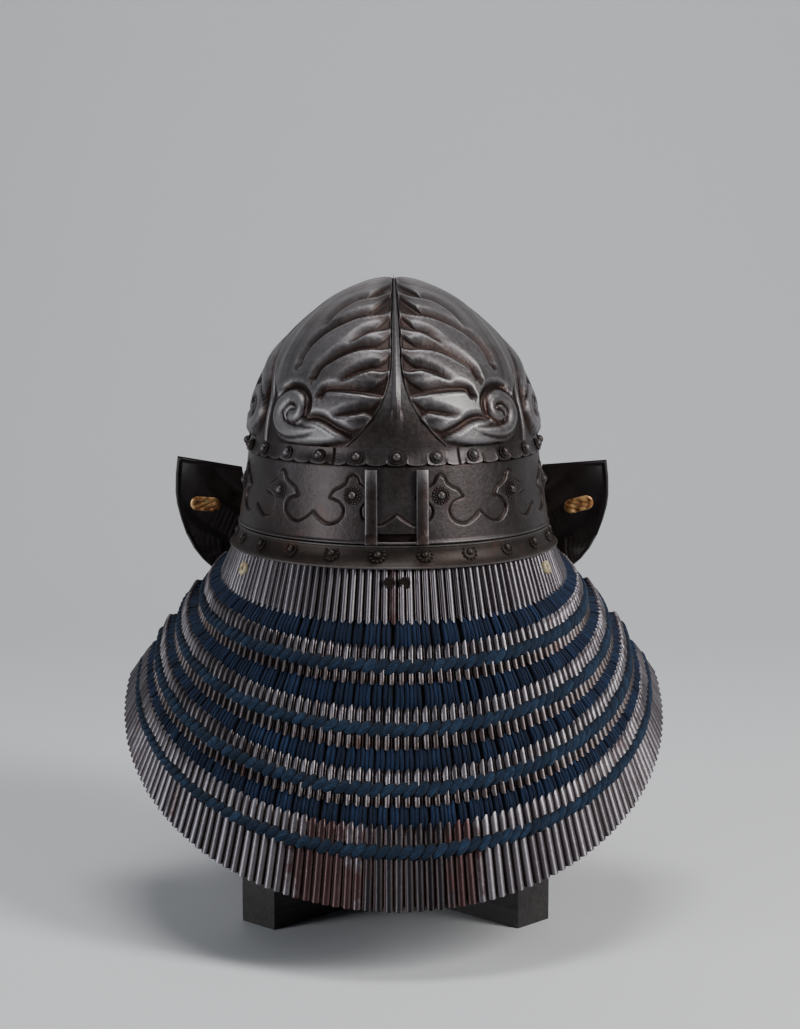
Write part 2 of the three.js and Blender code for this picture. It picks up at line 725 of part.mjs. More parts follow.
function badgeGeometry() {
  const radius = BADGE_WIDTH / 2;
  const straight = BADGE_LENGTH / 2 - radius;
  const outline = new THREE.Shape();
  outline.absarc(straight, 0, radius, -Math.PI / 2, Math.PI / 2);
  outline.absarc(-straight, 0, radius, Math.PI / 2, (3 * Math.PI) / 2);
  return new THREE.ExtrudeGeometry(outline, { depth: BADGE_WALL, bevelEnabled: false, curveSegments: 4 });
}

// A beam lies along X with a notch for the other beam in its top or its underside
function beamGeometry(notchOnTop) {
  const half = BEAM_LENGTH / 2;
  const notch = BEAM_WIDTH / 2 + SEAT_GAP;
  const depth = BEAM_HEIGHT / 2;
  const outline = new THREE.Shape();
  if (notchOnTop) {
    outline.moveTo(-half, 0).lineTo(half, 0).lineTo(half, BEAM_HEIGHT).lineTo(notch, BEAM_HEIGHT);
    outline.lineTo(notch, depth).lineTo(-notch, depth).lineTo(-notch, BEAM_HEIGHT).lineTo(-half, BEAM_HEIGHT);
  } else {
    outline.moveTo(-half, 0).lineTo(-notch, 0).lineTo(-notch, depth + SEAT_GAP).lineTo(notch, depth + SEAT_GAP);
    outline.lineTo(notch, 0).lineTo(half, 0).lineTo(half, BEAM_HEIGHT).lineTo(-half, BEAM_HEIGHT);
  }
  outline.closePath();
  const beam = new THREE.ExtrudeGeometry(outline, { depth: BEAM_WIDTH, bevelEnabled: false });
  beam.translate(0, 0, -BEAM_WIDTH / 2);
  beam.rotateX(Math.PI / 2);
  return beam;
}

// The head of the stand follows the inside of the dome near the apex and narrows below
const HEAD_TOP_OUT = -SHELL_WALL - CURVE_GAP;
const headBase = shellMeridian(HEAD_FIRST_ROW);
const headFoot = onDome(0, headBase, HEAD_TOP_OUT)[2] - HEAD_DEPTH;
function headGeometry() {
  const rows = [
    { meridian: headBase, size: 0.55, down: HEAD_DEPTH },
    { meridian: headBase, size: 0.92, down: 0.5 * HEAD_DEPTH },
    { meridian: headBase, size: 1, down: 0 },
  ];
  for (let row = HEAD_FIRST_ROW + 1; row <= SHELL_ROWS; row += 1) {
    rows.push({ meridian: shellMeridian(row) - 0.5, size: 1, down: 0 });
  }
  return bar(rows.map(({ meridian, size, down }) => {
    const section = domeSection(meridian, HEAD_TOP_OUT);
    return section.map(([x, y, z]) => [size * x, size * y, z - down]);
  }));
}

// Solids for joins and cuts
function solid(geometry) {
  const bare = geometry.clone();
  bare.deleteAttribute('normal');
  bare.deleteAttribute('uv');
  const merged = mergeVertices(bare);
  const vertProperties = new Float32Array(merged.attributes.position.array);
  const triVerts = new Uint32Array(merged.index.array);
  return new manifold.Manifold(new manifold.Mesh({ numProp: 3, vertProperties, triVerts }));
}

function fromSolid(shape) {
  const mesh = shape.getMesh();
  const geometry = new THREE.BufferGeometry();
  geometry.setAttribute('position', new THREE.BufferAttribute(new Float32Array(mesh.vertProperties), 3));
  geometry.setIndex(new THREE.BufferAttribute(new Uint32Array(mesh.triVerts), 1));
  return geometry;
}

const helmet = new THREE.Group();
helmet.name = 'kabuto';

function addPiece(parent, name, geometry, colour) {
  const material = new THREE.MeshStandardMaterial(COLOURS[colour]);
  const mesh = new THREE.Mesh(geometry, material);
  mesh.name = name;
  parent.add(mesh);
  return mesh;
}

// Turns a round piece, made along Y, to stand on the face between two rings, at an azimuth
function standOn(mesh, low, high, share, azimuth, gap) {
  const [x, y, z] = onRing(grow(between(low, high, share), gap), azimuth);
  mesh.position.set(x, y, z);
  const [foot, top] = [onRing(low, azimuth), onRing(high, azimuth)];
  const slope = (Math.hypot(foot[0], foot[1]) - Math.hypot(top[0], top[1])) / (top[2] - foot[2]);
  const normal = new THREE.Vector3(x / low.width ** 2, y / low.length ** 2, 0).normalize();
  normal.z = slope;
  mesh.quaternion.setFromUnitVectors(new THREE.Vector3(0, 1, 0), normal.normalize());
}

// Turns a flat piece, made in XY, to lie on the rear face of a wing
function layOnWing(mesh, side, inwardShare, upShare) {
  const place = (inward, up) => new THREE.Vector3(...wingPlace(side, inward, up, WING_WALL / 2 + SEAT_GAP));
  const middle = place(inwardShare, upShare);
  const across = place(inwardShare + 0.1, upShare).sub(middle).normalize();
  const upward = place(inwardShare, upShare + 0.1).sub(middle);
  const outward = across.clone().cross(upward).normalize();
  outward.multiplyScalar(Math.sign(outward.y));
  mesh.position.copy(middle);
  mesh.quaternion.setFromRotationMatrix(
    new THREE.Matrix4().makeBasis(across, outward.clone().cross(across), outward),
  );
}

// The bowl
const bowl = new THREE.Group();
helmet.add(bowl);
SHELL_QUARTERS.forEach((name, quarter) => addPiece(bowl, name, shellGeometry(quarter), 'iron'));
addPiece(bowl, 'bowl_crown_plug', crownPlugGeometry(), 'iron');
for (const [sideName, side] of SIDES) {
  addPiece(bowl, `panel_rear_${sideName}`, panelGeometry(false, side), 'iron');
  addPiece(bowl, `panel_front_${sideName}`, panelGeometry(true, side), 'iron');
  addPiece(bowl, `seam_rib_${sideName}`, seamGeometry(side), 'iron');
  addPiece(bowl, `strap_${sideName}`, strapGeometry((side * STRAP_SPACING) / 2), 'iron');
}
addPiece(bowl, 'spade_rear', spadeGeometry(1), 'iron');
addPiece(bowl, 'spade_front', spadeGeometry(-1), 'iron');
addPiece(bowl, 'crown_band', crownBandGeometry(), 'iron');
addPiece(bowl, 'waist_band', waistGeometry(), 'iron');
addPiece(bowl, 'waist_overlay', overlayGeometry(), 'iron');
addPiece(bowl, 'base_flange', flangeGeometry(), 'iron');
addPiece(bowl, 'visor', visorGeometry(), 'lacquer');
for (const azimuth of WAIST_RIVET_AZIMUTHS) {
  for (const [sideName, side] of SIDES) {
    const rivet = addPiece(bowl, `waist_rivet_${azimuth}_${sideName}`, rivetGeometry(), 'iron');
    const share = WAIST_RIVET_HEIGHT / WAIST_HEIGHT;
    standOn(rivet, waistBottom, waistTop, share, side * azimuth, overlayOut + SEAT_GAP);
  }
}

// The neck guard
const guard = new THREE.Group();
helmet.add(guard);
LAMES.forEach(({ name }, number) => {
  addPiece(guard, name, number === 0 ? topLameGeometry() : lameGeometry(number), 'scales');
  if (number > 0) {
    addPiece(guard, `lacing_${number}`, lacingGeometry(number - 1), 'lacing');
    addPiece(guard, `braid_${number + 1}`, braidGeometry(number), 'braid');
  }
});
for (const [sideName, side] of SIDES) {
  const grommet = addPiece(guard, `grommet_${sideName}`, grommetGeometry(), 'bone');
  standOn(grommet, lameRings[0].edge, lameRings[0].head, 0.5, side * GROMMET_AZIMUTH, CURVE_GAP);
  addPiece(guard, `wing_${sideName}`, wingGeometry(side), 'lacquer');
  const badge = addPiece(guard, `wing_badge_${sideName}`, badgeGeometry(), 'gilt');
  layOnWing(badge, side, BADGE_PLACE.out, BADGE_PLACE.up);
}

// The stand
const stand = new THREE.Group();
helmet.add(stand);
const beamA = addPiece(stand, 'stand_beam_a', beamGeometry(true), 'wood');
beamA.rotation.z = Math.PI / 4;
const beamB = addPiece(stand, 'stand_beam_b', beamGeometry(false), 'wood');
beamB.rotation.z = -Math.PI / 4;
const postLength = headFoot - BEAM_HEIGHT - 2 * SEAT_GAP;
const postGeometry = new THREE.CylinderGeometry(POST_RADIUS, POST_RADIUS, postLength, 16);
postGeometry.rotateX(Math.PI / 2);
const post = addPiece(stand, 'stand_post', postGeometry, 'wood');
post.position.z = BEAM_HEIGHT + SEAT_GAP + postLength / 2;
addPiece(stand, 'stand_head', headGeometry(), 'wood');

export default helmet;
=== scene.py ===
"""The looks of a kabuto on its stand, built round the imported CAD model.

Lengths are in millimetres until a mesh is made. An azimuth is an angle round the helmet in degrees,
0 at the rear, +Y, and 90 at +X. A meridian runs up the dome, from 0 degrees at its foot to 90 at the apex.
"""

import math
import random

import bpy
import numpy as np
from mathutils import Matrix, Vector


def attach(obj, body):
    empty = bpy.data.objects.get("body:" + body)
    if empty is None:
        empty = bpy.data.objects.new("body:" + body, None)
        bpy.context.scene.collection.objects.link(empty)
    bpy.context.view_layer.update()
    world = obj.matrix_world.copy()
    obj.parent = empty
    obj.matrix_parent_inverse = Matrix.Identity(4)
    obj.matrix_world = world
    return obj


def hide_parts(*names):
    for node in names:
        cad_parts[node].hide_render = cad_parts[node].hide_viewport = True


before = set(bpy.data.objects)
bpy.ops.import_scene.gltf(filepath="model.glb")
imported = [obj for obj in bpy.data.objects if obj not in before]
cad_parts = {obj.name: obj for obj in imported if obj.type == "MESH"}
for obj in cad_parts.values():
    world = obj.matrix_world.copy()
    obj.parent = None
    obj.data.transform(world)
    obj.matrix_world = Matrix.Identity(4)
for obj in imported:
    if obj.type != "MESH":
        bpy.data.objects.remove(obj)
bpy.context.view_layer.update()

MM = 0.001
ROOT = "root"
SIDES = (("left", 1), ("right", -1))

# The bowl's sizes, as in the CAD model
RIM_HEIGHT = 229.5
FLANGE_HEIGHT = 13.7
WAIST_BOTTOM = 243.5
WAIST_HEIGHT = 49
WAIST_TOP = WAIST_BOTTOM + WAIST_HEIGHT
CROWN_BAND_BOTTOM = WAIST_TOP - 1.6
CROWN_BAND_TOP = CROWN_BAND_BOTTOM + 8.5
DOME_BASE = WAIST_TOP + 4.4
DOME_HEIGHT = 98.5
DOME_HALF_WIDTH = 89.5
DOME_HALF_LENGTH = 108
DOME_FULLNESS = 1.32

# The neck guard's sizes, as in the CAD model
GUARD_OUT = (67.2, 67)
GUARD_DROP = (100.5, 188.5)
LAME_WALL = 2.2


def smooth(x, low, high):
    t = np.clip((np.asarray(x, float) - low) / (high - low), 0, 1)
    return t * t * (3 - 2 * t)


def lerp(a, b, t):
    return a + (b - a) * t


# Rings round the helmet: half width, half length, height at the side and at the rear
def ring(width, length, side, rear=None):
    return np.array([width, length, side, side if rear is None else rear], float)


def grow(base, out, up=0.0):
    return base + np.array([out, out, up, up])


def on_ring(base, azimuth):
    """Points of a ring, or of one ring for each azimuth."""
    a = np.radians(np.asarray(azimuth, float))
    base = np.asarray(base, float)
    s, c = np.sin(a), np.cos(a)
    return np.stack(
        [base[..., 0] * s, base[..., 1] * c, lerp(base[..., 2], base[..., 3], c)], -1
    )


WAIST_LOW = ring(DOME_HALF_WIDTH + 8, DOME_HALF_LENGTH + 9.5, WAIST_BOTTOM)
WAIST_HIGH = ring(DOME_HALF_WIDTH + 2.5, DOME_HALF_LENGTH + 2.5, WAIST_TOP)
OVERLAY_OUT = 1.6
FLANGE_TOP = grow(WAIST_LOW, OVERLAY_OUT + 0.9, -0.3)
FLANGE_NECK = grow(FLANGE_TOP, -0.9, -0.2 * FLANGE_HEIGHT)
RIM = grow(FLANGE_NECK, 6.2, -0.8 * FLANGE_HEIGHT)


def on_waist(share, out=0.0):
    return grow(lerp(WAIST_LOW, WAIST_HIGH, share), out)


def guard_ring(out, rear_out, drop, rear_drop):
    return ring(
        RIM[0] + out * GUARD_OUT[0],
        RIM[1] + rear_out * GUARD_OUT[1],
        RIM_HEIGHT - drop * GUARD_DROP[0],
        RIM_HEIGHT - rear_drop * GUARD_DROP[1],
    )


TUCKED_HEAD = grow(lerp(RIM, FLANGE_NECK, 0.5), -2.75)
LAMES = [
    (120, TUCKED_HEAD, guard_ring(0.062, 0.09, 0.184, 0.159)),
    (112.5, guard_ring(0.196, 0.180, 0.224, 0.236), guard_ring(0.286, 0.306, 0.393, 0.340)),
    (105, guard_ring(0.412, 0.366, 0.403, 0.419), guard_ring(0.516, 0.492, 0.562, 0.533)),
    (97.5, guard_ring(0.620, 0.560, 0.572, 0.600), guard_ring(0.717, 0.679, 0.741, 0.698)),
    (97.5, guard_ring(0.800, 0.746, 0.781, 0.761), guard_ring(1, 1, 1, 1)),
]


# Meshes
def add_mesh(name, vertices, faces, material, slot=None, replaced=(), crease=40, **attributes):
    mesh = bpy.data.meshes.new(name)
    vertices = np.asarray(vertices, float).reshape(-1, 3)
    mesh.from_pydata((vertices * MM).tolist(), [], faces)
    for key, values in attributes.items():
        values = np.asarray(values, np.float32)
        kind = "FLOAT_VECTOR" if values.ndim == 2 else "FLOAT"
        field = "vector" if values.ndim == 2 else "value"
        mesh.attributes.new(key, kind, "POINT").data.foreach_set(field, values.ravel())
    mesh.polygons.foreach_set("use_smooth", [True] * len(mesh.polygons))
    mesh.set_sharp_from_angle(angle=math.radians(crease))
    mesh.materials.append(material)
    piece = bpy.data.objects.new(name, mesh)
    bpy.context.scene.collection.objects.link(piece)
    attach(piece, ROOT)
    if replaced:
        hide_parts(*replaced)
    return piece


def grid_faces(columns, rows, start=0, loop=False, flip=False):
    """Quads of a sheet of points stored row by row."""
    across = columns if loop else columns + 1
    faces = []
    for r in range(rows):
        for c in range(columns):
            quad = (
                start + r * across + c,
                start + r * across + (c + 1) % across,
                start + (r + 1) * across + (c + 1) % across,
                start + (r + 1) * across + c,
            )
            faces.append(quad[::-1] if flip else quad)
    return faces


class Batch:
    """Many small bodies gathered in one mesh, with the same attributes on each."""

    def __init__(self):
        self.vertices, self.faces, self.values, self.count = [], [], {}, 0

    def add(self, vertices, faces, **attributes):
        vertices = np.asarray(vertices, float).reshape(-1, 3)
        self.faces += [tuple(i + self.count for i in f) for f in faces]
        self.count += len(vertices)
        self.vertices.append(vertices)
        for key, value in attributes.items():
            value = np.asarray(value, float)
            if value.ndim == 0:
                value = np.full(len(vertices), float(value))
            self.values.setdefault(key, []).append(value)

    def build(self, name, material, slot=None, replaced=(), crease=40):
        joined = {k: np.concatenate(v) for k, v in self.values.items()}
        return add_mesh(
            name, np.concatenate(self.vertices), self.faces, material, slot, replaced, crease, **joined
        )


def flipped(faces):
    return [face[::-1] for face in faces]


def closed_sheet(front, back, loop=False):
    """Vertices and faces of a wall between two grids of points, each of shape rows, columns, 3."""
    rows, across = front.shape[0] - 1, front.shape[1]
    columns = across if loop else across - 1
    start = (rows + 1) * across
    faces = grid_faces(columns, rows, loop=loop) + grid_faces(columns, rows, start, loop, True)
    for c in range(columns):
        n = (c + 1) % across
        faces.append((n, c, start + c, start + n))
        top = rows * across
        faces.append((top + c, top + n, start + top + n, start + top + c))
    if not loop:
        for r in range(rows):
            a, b = r * across, (r + 1) * across
            faces.append((a, b, start + b, start + a))
            a, b = a + columns, b + columns
            faces.append((b, a, start + a, start + b))
    return np.concatenate([front.reshape(-1, 3), back.reshape(-1, 3)]), faces


def lathe(profile, sides):
    """A closed round body from its profile, pairs of radius and height, foot first, apex last."""
    vertices = []
    for radius, height in profile[:-1]:
        for k in range(sides):
            a = 2 * math.pi * k / sides
            vertices.append((radius * math.cos(a), radius * math.sin(a), height))
    faces = grid_faces(sides, len(profile) - 2, loop=True)
    apex = len(vertices)
    vertices.append((0, 0, profile[-1][1]))
    last = (len(profile) - 2) * sides
    faces += [(last + k, last + (k + 1) % sides, apex) for k in range(sides)]
    faces.append(tuple(range(sides - 1, -1, -1)))
    return np.array(vertices), faces


def placed(vertices, origin, normal, up=(0, 0, 1)):
    """Points made round +Z, turned so that +Z is the normal, and moved to the origin."""
    z = np.asarray(normal, float) / np.linalg.norm(normal)
    x = np.cross(up, z)
    x = x / np.linalg.norm(x)
    y = np.cross(z, x)
    return np.asarray(vertices) @ np.stack([x, y, z]) + np.asarray(origin)


def wall_normal(low, high, azimuth):
    """The outward normal of the wall between two rings."""
    step = 0.5
    across = on_ring(low, azimuth + step) - on_ring(low, azimuth - step)
    upward = on_ring(high, azimuth) - on_ring(low, azimuth)
    normal = np.cross(upward, across)
    return normal / np.linalg.norm(normal)


# Materials
class Nodes:
    """A short way to write a node material."""

    def __init__(self, name):
        self.material = bpy.data.materials.new(name)
        self.material.use_nodes = True
        self.tree = self.material.node_tree
        self.shader = self.tree.nodes["Principled BSDF"]

    def node(self, kind, **settings):
        made = self.tree.nodes.new("ShaderNode" + kind)
        for key, value in settings.items():
            setattr(made, key, value)
        return made

    def link(self, source, target):
        self.tree.links.new(source, target)

    def put(self, socket, value):
        if isinstance(value, bpy.types.NodeSocket):
            self.link(value, socket)
        else:
            socket.default_value = value

    def place(self):
        return self.node("TexCoord").outputs["Object"]

    def attribute(self, name):
        return self.node("Attribute", attribute_name=name)

    def noise(self, scale, detail=3, roughness=0.55, vector=None, stretch=None, distortion=0.0):
        vector = vector or self.place()
        if stretch:
            mapping = self.node("Mapping")
            mapping.inputs["Scale"].default_value = stretch
            self.link(vector, mapping.inputs["Vector"])
            vector = mapping.outputs["Vector"]
        made = self.node("TexNoise")
        made.inputs["Scale"].default_value = scale
        made.inputs["Detail"].default_value = detail
        made.inputs["Roughness"].default_value = roughness
        made.inputs["Distortion"].default_value = distortion
        self.link(vector, made.inputs["Vector"])
        return made.outputs["Fac"]

    def ramp(self, value, *stops):
        made = self.node("ValToRGB")
        elements = made.color_ramp.elements
        while len(elements) < len(stops):
            elements.new(0.5)
        for element, (at, colour) in zip(elements, stops):
            element.position = at
            if isinstance(colour, (int, float)):
                colour = (colour,) * 3
            element.color = (*colour, 1)
        self.link(value, made.inputs["Fac"])
        return made.outputs["Color"]

    def mix(self, factor, a, b, blend="MIX"):
        made = self.node("Mix", data_type="RGBA", blend_type=blend)
        self.put(made.inputs["Factor"], factor)
        for socket, value in ((made.inputs[6], a), (made.inputs[7], b)):
            self.put(socket, (*value, 1) if isinstance(value, tuple) and len(value) == 3 else value)
        return made.outputs[2]

    def maths(self, operation, a, b):
        made = self.node("Math", operation=operation)
        self.put(made.inputs[0], a)
        self.put(made.inputs[1], b)
        return made.outputs[0]

    def bump(self, *layers):
        """Bump from pairs of height and depth in millimetres."""
        normal = None
        for height, depth in layers:
            made = self.node("Bump")
            made.inputs["Distance"].default_value = depth * MM
            made.inputs["Strength"].default_value = 1.0
            self.link(height, made.inputs["Height"])
            if normal:
                self.link(normal, made.inputs["Normal"])
            normal = made.outputs["Normal"]
        self.link(normal, self.shader.inputs["Normal"])

    def set(self, **values):
        for key, value in values.items():
            name = key.replace("_", " ").title()
            if isinstance(value, tuple) and len(value) == 3:
                value = (*value, 1)
            self.put(self.shader.inputs[name], value)


def iron_material(name, dark, mid, bright, rust_amount=0.35, roughness=0.42):
    """Russet iron: bright where the attribute tone is high, brown where it is low, as in the recesses. Tone
    holds wear, and on most pieces also painted highlights on crests and edges and painted shade in recesses
    and grooves.
    """
    n = Nodes(name)
    tone = n.attribute("tone").outputs["Fac"]
    cloud = n.noise(22, 4, 0.6)
    fine = n.noise(420, 3, 0.6)
    grain = n.noise(1500, 2, 0.6)
    rust = n.noise(38, 5, 0.65, distortion=0.6)
    # worn follows tone, so it carries painted highlights and painted shade as well as wear
    worn = n.maths("ADD", tone, n.maths("MULTIPLY", n.maths("SUBTRACT", cloud, 0.5), 0.7))
    colour = n.ramp(worn, (0.15, dark), (0.5, mid), (0.95, bright))
    speckle = n.ramp(fine, (0.38, 0.72), (0.62, 1.12))
    colour = n.mix(0.5, colour, speckle, "MULTIPLY")
    stain = n.ramp(rust, (0.55, 0.0), (0.74, rust_amount))
    colour = n.mix(stain, colour, (0.085, 0.036, 0.024))
    n.set(base_color=colour, metallic=0.8)
    n.set(roughness=n.ramp(n.mix(0.5, cloud, fine), (0.3, roughness - 0.08), (0.7, roughness + 0.12)))
    n.bump((grain, 0.08), (fine, 0.2), (cloud, 0.5))
    return n.material


IRON = iron_material("iron", (0.022, 0.013, 0.011), (0.058, 0.050, 0.051), (0.20, 0.19, 0.196))
IRON_FLANGE = iron_material(
    "iron_flange", (0.022, 0.015, 0.012), (0.048, 0.040, 0.038), (0.12, 0.11, 0.105), 0.5, 0.5
)


def scale_material():
    """Silver lacquer on ribbed scales: dark in the grooves, partly as painted shade, brown where worn, and
    rust-brown and darker under the braids, as rust and the braids' painted shadow.
    """
    n = Nodes("scales")
    groove = n.attribute("groove").outputs["Fac"]
    worn = n.attribute("worn").outputs["Fac"]
    tint = n.attribute("tint").outputs["Fac"]
    grime = n.attribute("grime").outputs["Fac"]
    patch = n.noise(55, 4, 0.65)
    fine = n.noise(700, 3, 0.6)
    shades = ((0.0, (0.010, 0.008, 0.010)), (0.25, (0.07, 0.063, 0.071)), (1.0, (0.2, 0.185, 0.205)))
    silver = n.ramp(tint, *shades)
    silver = n.mix(0.35, silver, n.ramp(fine, (0.35, 0.6), (0.65, 1.15)), "MULTIPLY")
    brown = n.mix(patch, (0.020, 0.007, 0.007), (0.052, 0.018, 0.018))
    spots = n.maths("ADD", worn, n.maths("SUBTRACT", patch, 0.62))
    colour = n.mix(n.ramp(spots, (0.02, 0.0), (0.2, 0.9)), silver, brown)
    rust = n.mix(patch, (0.045, 0.036, 0.036), (0.075, 0.038, 0.022))
    # Below the braids: rust, and the braids' painted shadow
    colour = n.mix(n.maths("MULTIPLY", grime, 0.62), colour, rust)
    # Grooves, slits between scales and backs mixed to dark red-brown: painted shade over the brown the
    # hollows hold
    colour = n.mix(n.ramp(groove, (0.2, 0.0), (0.75, 0.95)), colour, (0.016, 0.006, 0.005))
    n.set(base_color=colour, metallic=0.7)
    n.set(roughness=n.ramp(patch, (0.3, 0.30), (0.75, 0.44)))
    n.bump((fine, 0.05), (patch, 0.25))
    return n.material


def silk_material(name, dark, mid, light):
    """Silk whose fibres run along the third number of the attribute grain, with painted shade in its creases.
    """
    n = Nodes(name)
    grain = n.attribute("grain").outputs["Vector"]
    tint = n.attribute("tint").outputs["Fac"]
    fold = n.attribute("fold").outputs["Fac"]
    fibres = n.noise(1.35, 3, 0.65, grain, (1, 1, 0.1))
    fuzz = n.noise(1100, 2, 0.7)
    shade = n.maths("ADD", n.maths("MULTIPLY", fibres, 1.15), n.maths("MULTIPLY", tint, 0.2))
    shade = n.maths("SUBTRACT", shade, n.maths("ADD", n.maths("MULTIPLY", fold, 0.4), 0.16))
    colour = n.ramp(shade, (0.15, dark), (0.5, mid), (0.78, light))
    n.set(base_color=n.mix(0.4, colour, n.ramp(fuzz, (0.3, 0.5), (0.7, 1.35)), "MULTIPLY"))
    n.set(roughness=0.9)
    n.shader.inputs["Sheen Weight"].default_value = 0.04
    n.shader.inputs["Sheen Roughness"].default_value = 0.5
    n.shader.inputs["Specular IOR Level"].default_value = 0.2
    n.bump((fuzz, 0.3), (fibres, 1.2))
    return n.material


def lacquer_material():
    n = Nodes("lacquer")
    cloud = n.noise(45, 4, 0.6)
    chips = n.noise(160, 4, 0.7)
    edge = n.attribute("edge").outputs["Fac"]
    chip = n.ramp(n.maths("ADD", edge, n.maths("MULTIPLY", chips, 0.9)), (1.22, 0.0), (1.3, 1.0))
    base = n.mix(cloud, (0.006, 0.005, 0.005), (0.016, 0.011, 0.009))
    n.set(base_color=n.mix(chip, base, (0.30, 0.19, 0.10)))
    n.set(roughness=n.ramp(cloud, (0.35, 0.10), (0.7, 0.2)))
    n.shader.inputs["Coat Weight"].default_value = 0.5
    n.shader.inputs["Coat Roughness"].default_value = 0.08
    n.bump((n.noise(60, 2, 0.5), 0.12))
    return n.material


def gilt_material():
    n = Nodes("gilt")
    blotch = n.noise(190, 4, 0.65)
    shades = ((0.34, (0.05, 0.025, 0.015)), (0.46, (0.42, 0.19, 0.07)), (0.6, (0.72, 0.46, 0.2)))
    n.set(base_color=n.ramp(blotch, *shades), metallic=0.75, roughness=0.42)
    n.bump((blotch, 0.5), (n.noise(900, 2), 0.06))
    return n.material


def bone_material():
    n = Nodes("bone")
    blotch = n.noise(260, 3, 0.6)
    tone = n.attribute("tone").outputs["Fac"]
    colour = n.ramp(blotch, (0.35, (0.20, 0.15, 0.07)), (0.62, (0.46, 0.39, 0.24)))
    # Dark where tone is low: painted shade in a grommet's hole
    n.set(base_color=n.mix(tone, (0.02, 0.014, 0.01), colour), roughness=0.38)
    n.bump((blotch, 0.15))
    return n.material


def wood_material():
    n = Nodes("wood")
    grain = n.attribute("grain").outputs["Vector"]
    rings = n.noise(1.0, 4, 0.6, grain, (0.012, 0.25, 0.25), 1.2)
    saw = n.noise(1.0, 2, 0.7, grain, (0.4, 1.5, 0.35))
    colour = n.ramp(rings, (0.3, (0.010, 0.009, 0.009)), (0.7, (0.034, 0.030, 0.029)))
    n.set(base_color=n.mix(0.5, colour, n.ramp(saw, (0.3, 0.55), (0.7, 1.3)), "MULTIPLY"))
    n.set(roughness=n.ramp(saw, (0.3, 0.55), (0.7, 0.8)))
    n.bump((saw, 0.25), (rings, 0.5))
    return n.material


def floor_material():
    n = Nodes("floor")
    n.set(base_color=(0.62, 0.63, 0.65), roughness=0.75)
    return n.material


SCALES = scale_material()
LACING = silk_material("lacing", (0.001, 0.002, 0.006), (0.004, 0.012, 0.036), (0.013, 0.035, 0.095))
BRAID = silk_material("braid", (0.001, 0.003, 0.007), (0.005, 0.014, 0.034), (0.018, 0.044, 0.090))
LACQUER = lacquer_material()
GILT = gilt_material()
BONE = bone_material()
WOOD = wood_material()


# The dome and its embossed plates
def dome_radius(meridian):
    """How wide the dome is at a meridian, as a share of its width at the foot."""
    return np.clip(np.cos(np.radians(meridian)), 1e-6, 1) ** DOME_FULLNESS


def on_dome(azimuth, meridian, raised=0.0):
    a, m = np.radians(azimuth), np.radians(meridian)
    radius = dome_radius(meridian)
    return np.stack(
        [
            (DOME_HALF_WIDTH + raised) * radius * np.sin(a),
            (DOME_HALF_LENGTH + raised) * radius * np.cos(a),
            DOME_BASE + (DOME_HEIGHT + raised) * np.sin(m),
        ],
        -1,
    )


def seam_azimuth(meridian):
    return lerp(60, 88, smooth(np.sin(np.radians(meridian)), 0.25, 0.75))


def seam_spread(meridian, distance):
    return np.degrees(distance / (DOME_HALF_WIDTH * dome_radius(meridian)))


# The spade between two plates: its fin's half width below and at the apex, and its foot's spread
FIN_HALF_WIDTH = 2.5
FIN_TIP_HALF_WIDTH = 0.25
FIN_TAPERS_FROM = 20
SPADE_SPREAD = 31
SPADE_HEIGHT = 56
SPADE_CURVE = 2.25


def spade_half_width(meridian):
    height = DOME_HEIGHT * np.sin(np.radians(meridian))
    taper = np.clip((height - FIN_TAPERS_FROM) / (DOME_HEIGHT - FIN_TAPERS_FROM), 0, 1) ** 3
    fin = lerp(FIN_HALF_WIDTH, FIN_TIP_HALF_WIDTH, taper)
    return fin + SPADE_SPREAD * np.clip(1 - height / SPADE_HEIGHT, 0, 1) ** SPADE_CURVE


def azimuth_at(distance, meridian):
    return np.degrees(np.arcsin(np.clip(distance / (DOME_HALF_WIDTH * dome_radius(meridian)), 0, 1)))


FOOT_ANGLE = math.degrees(math.asin((CROWN_BAND_TOP + 0.3 - DOME_BASE) / DOME_HEIGHT))
TOP_ANGLE = 89.2

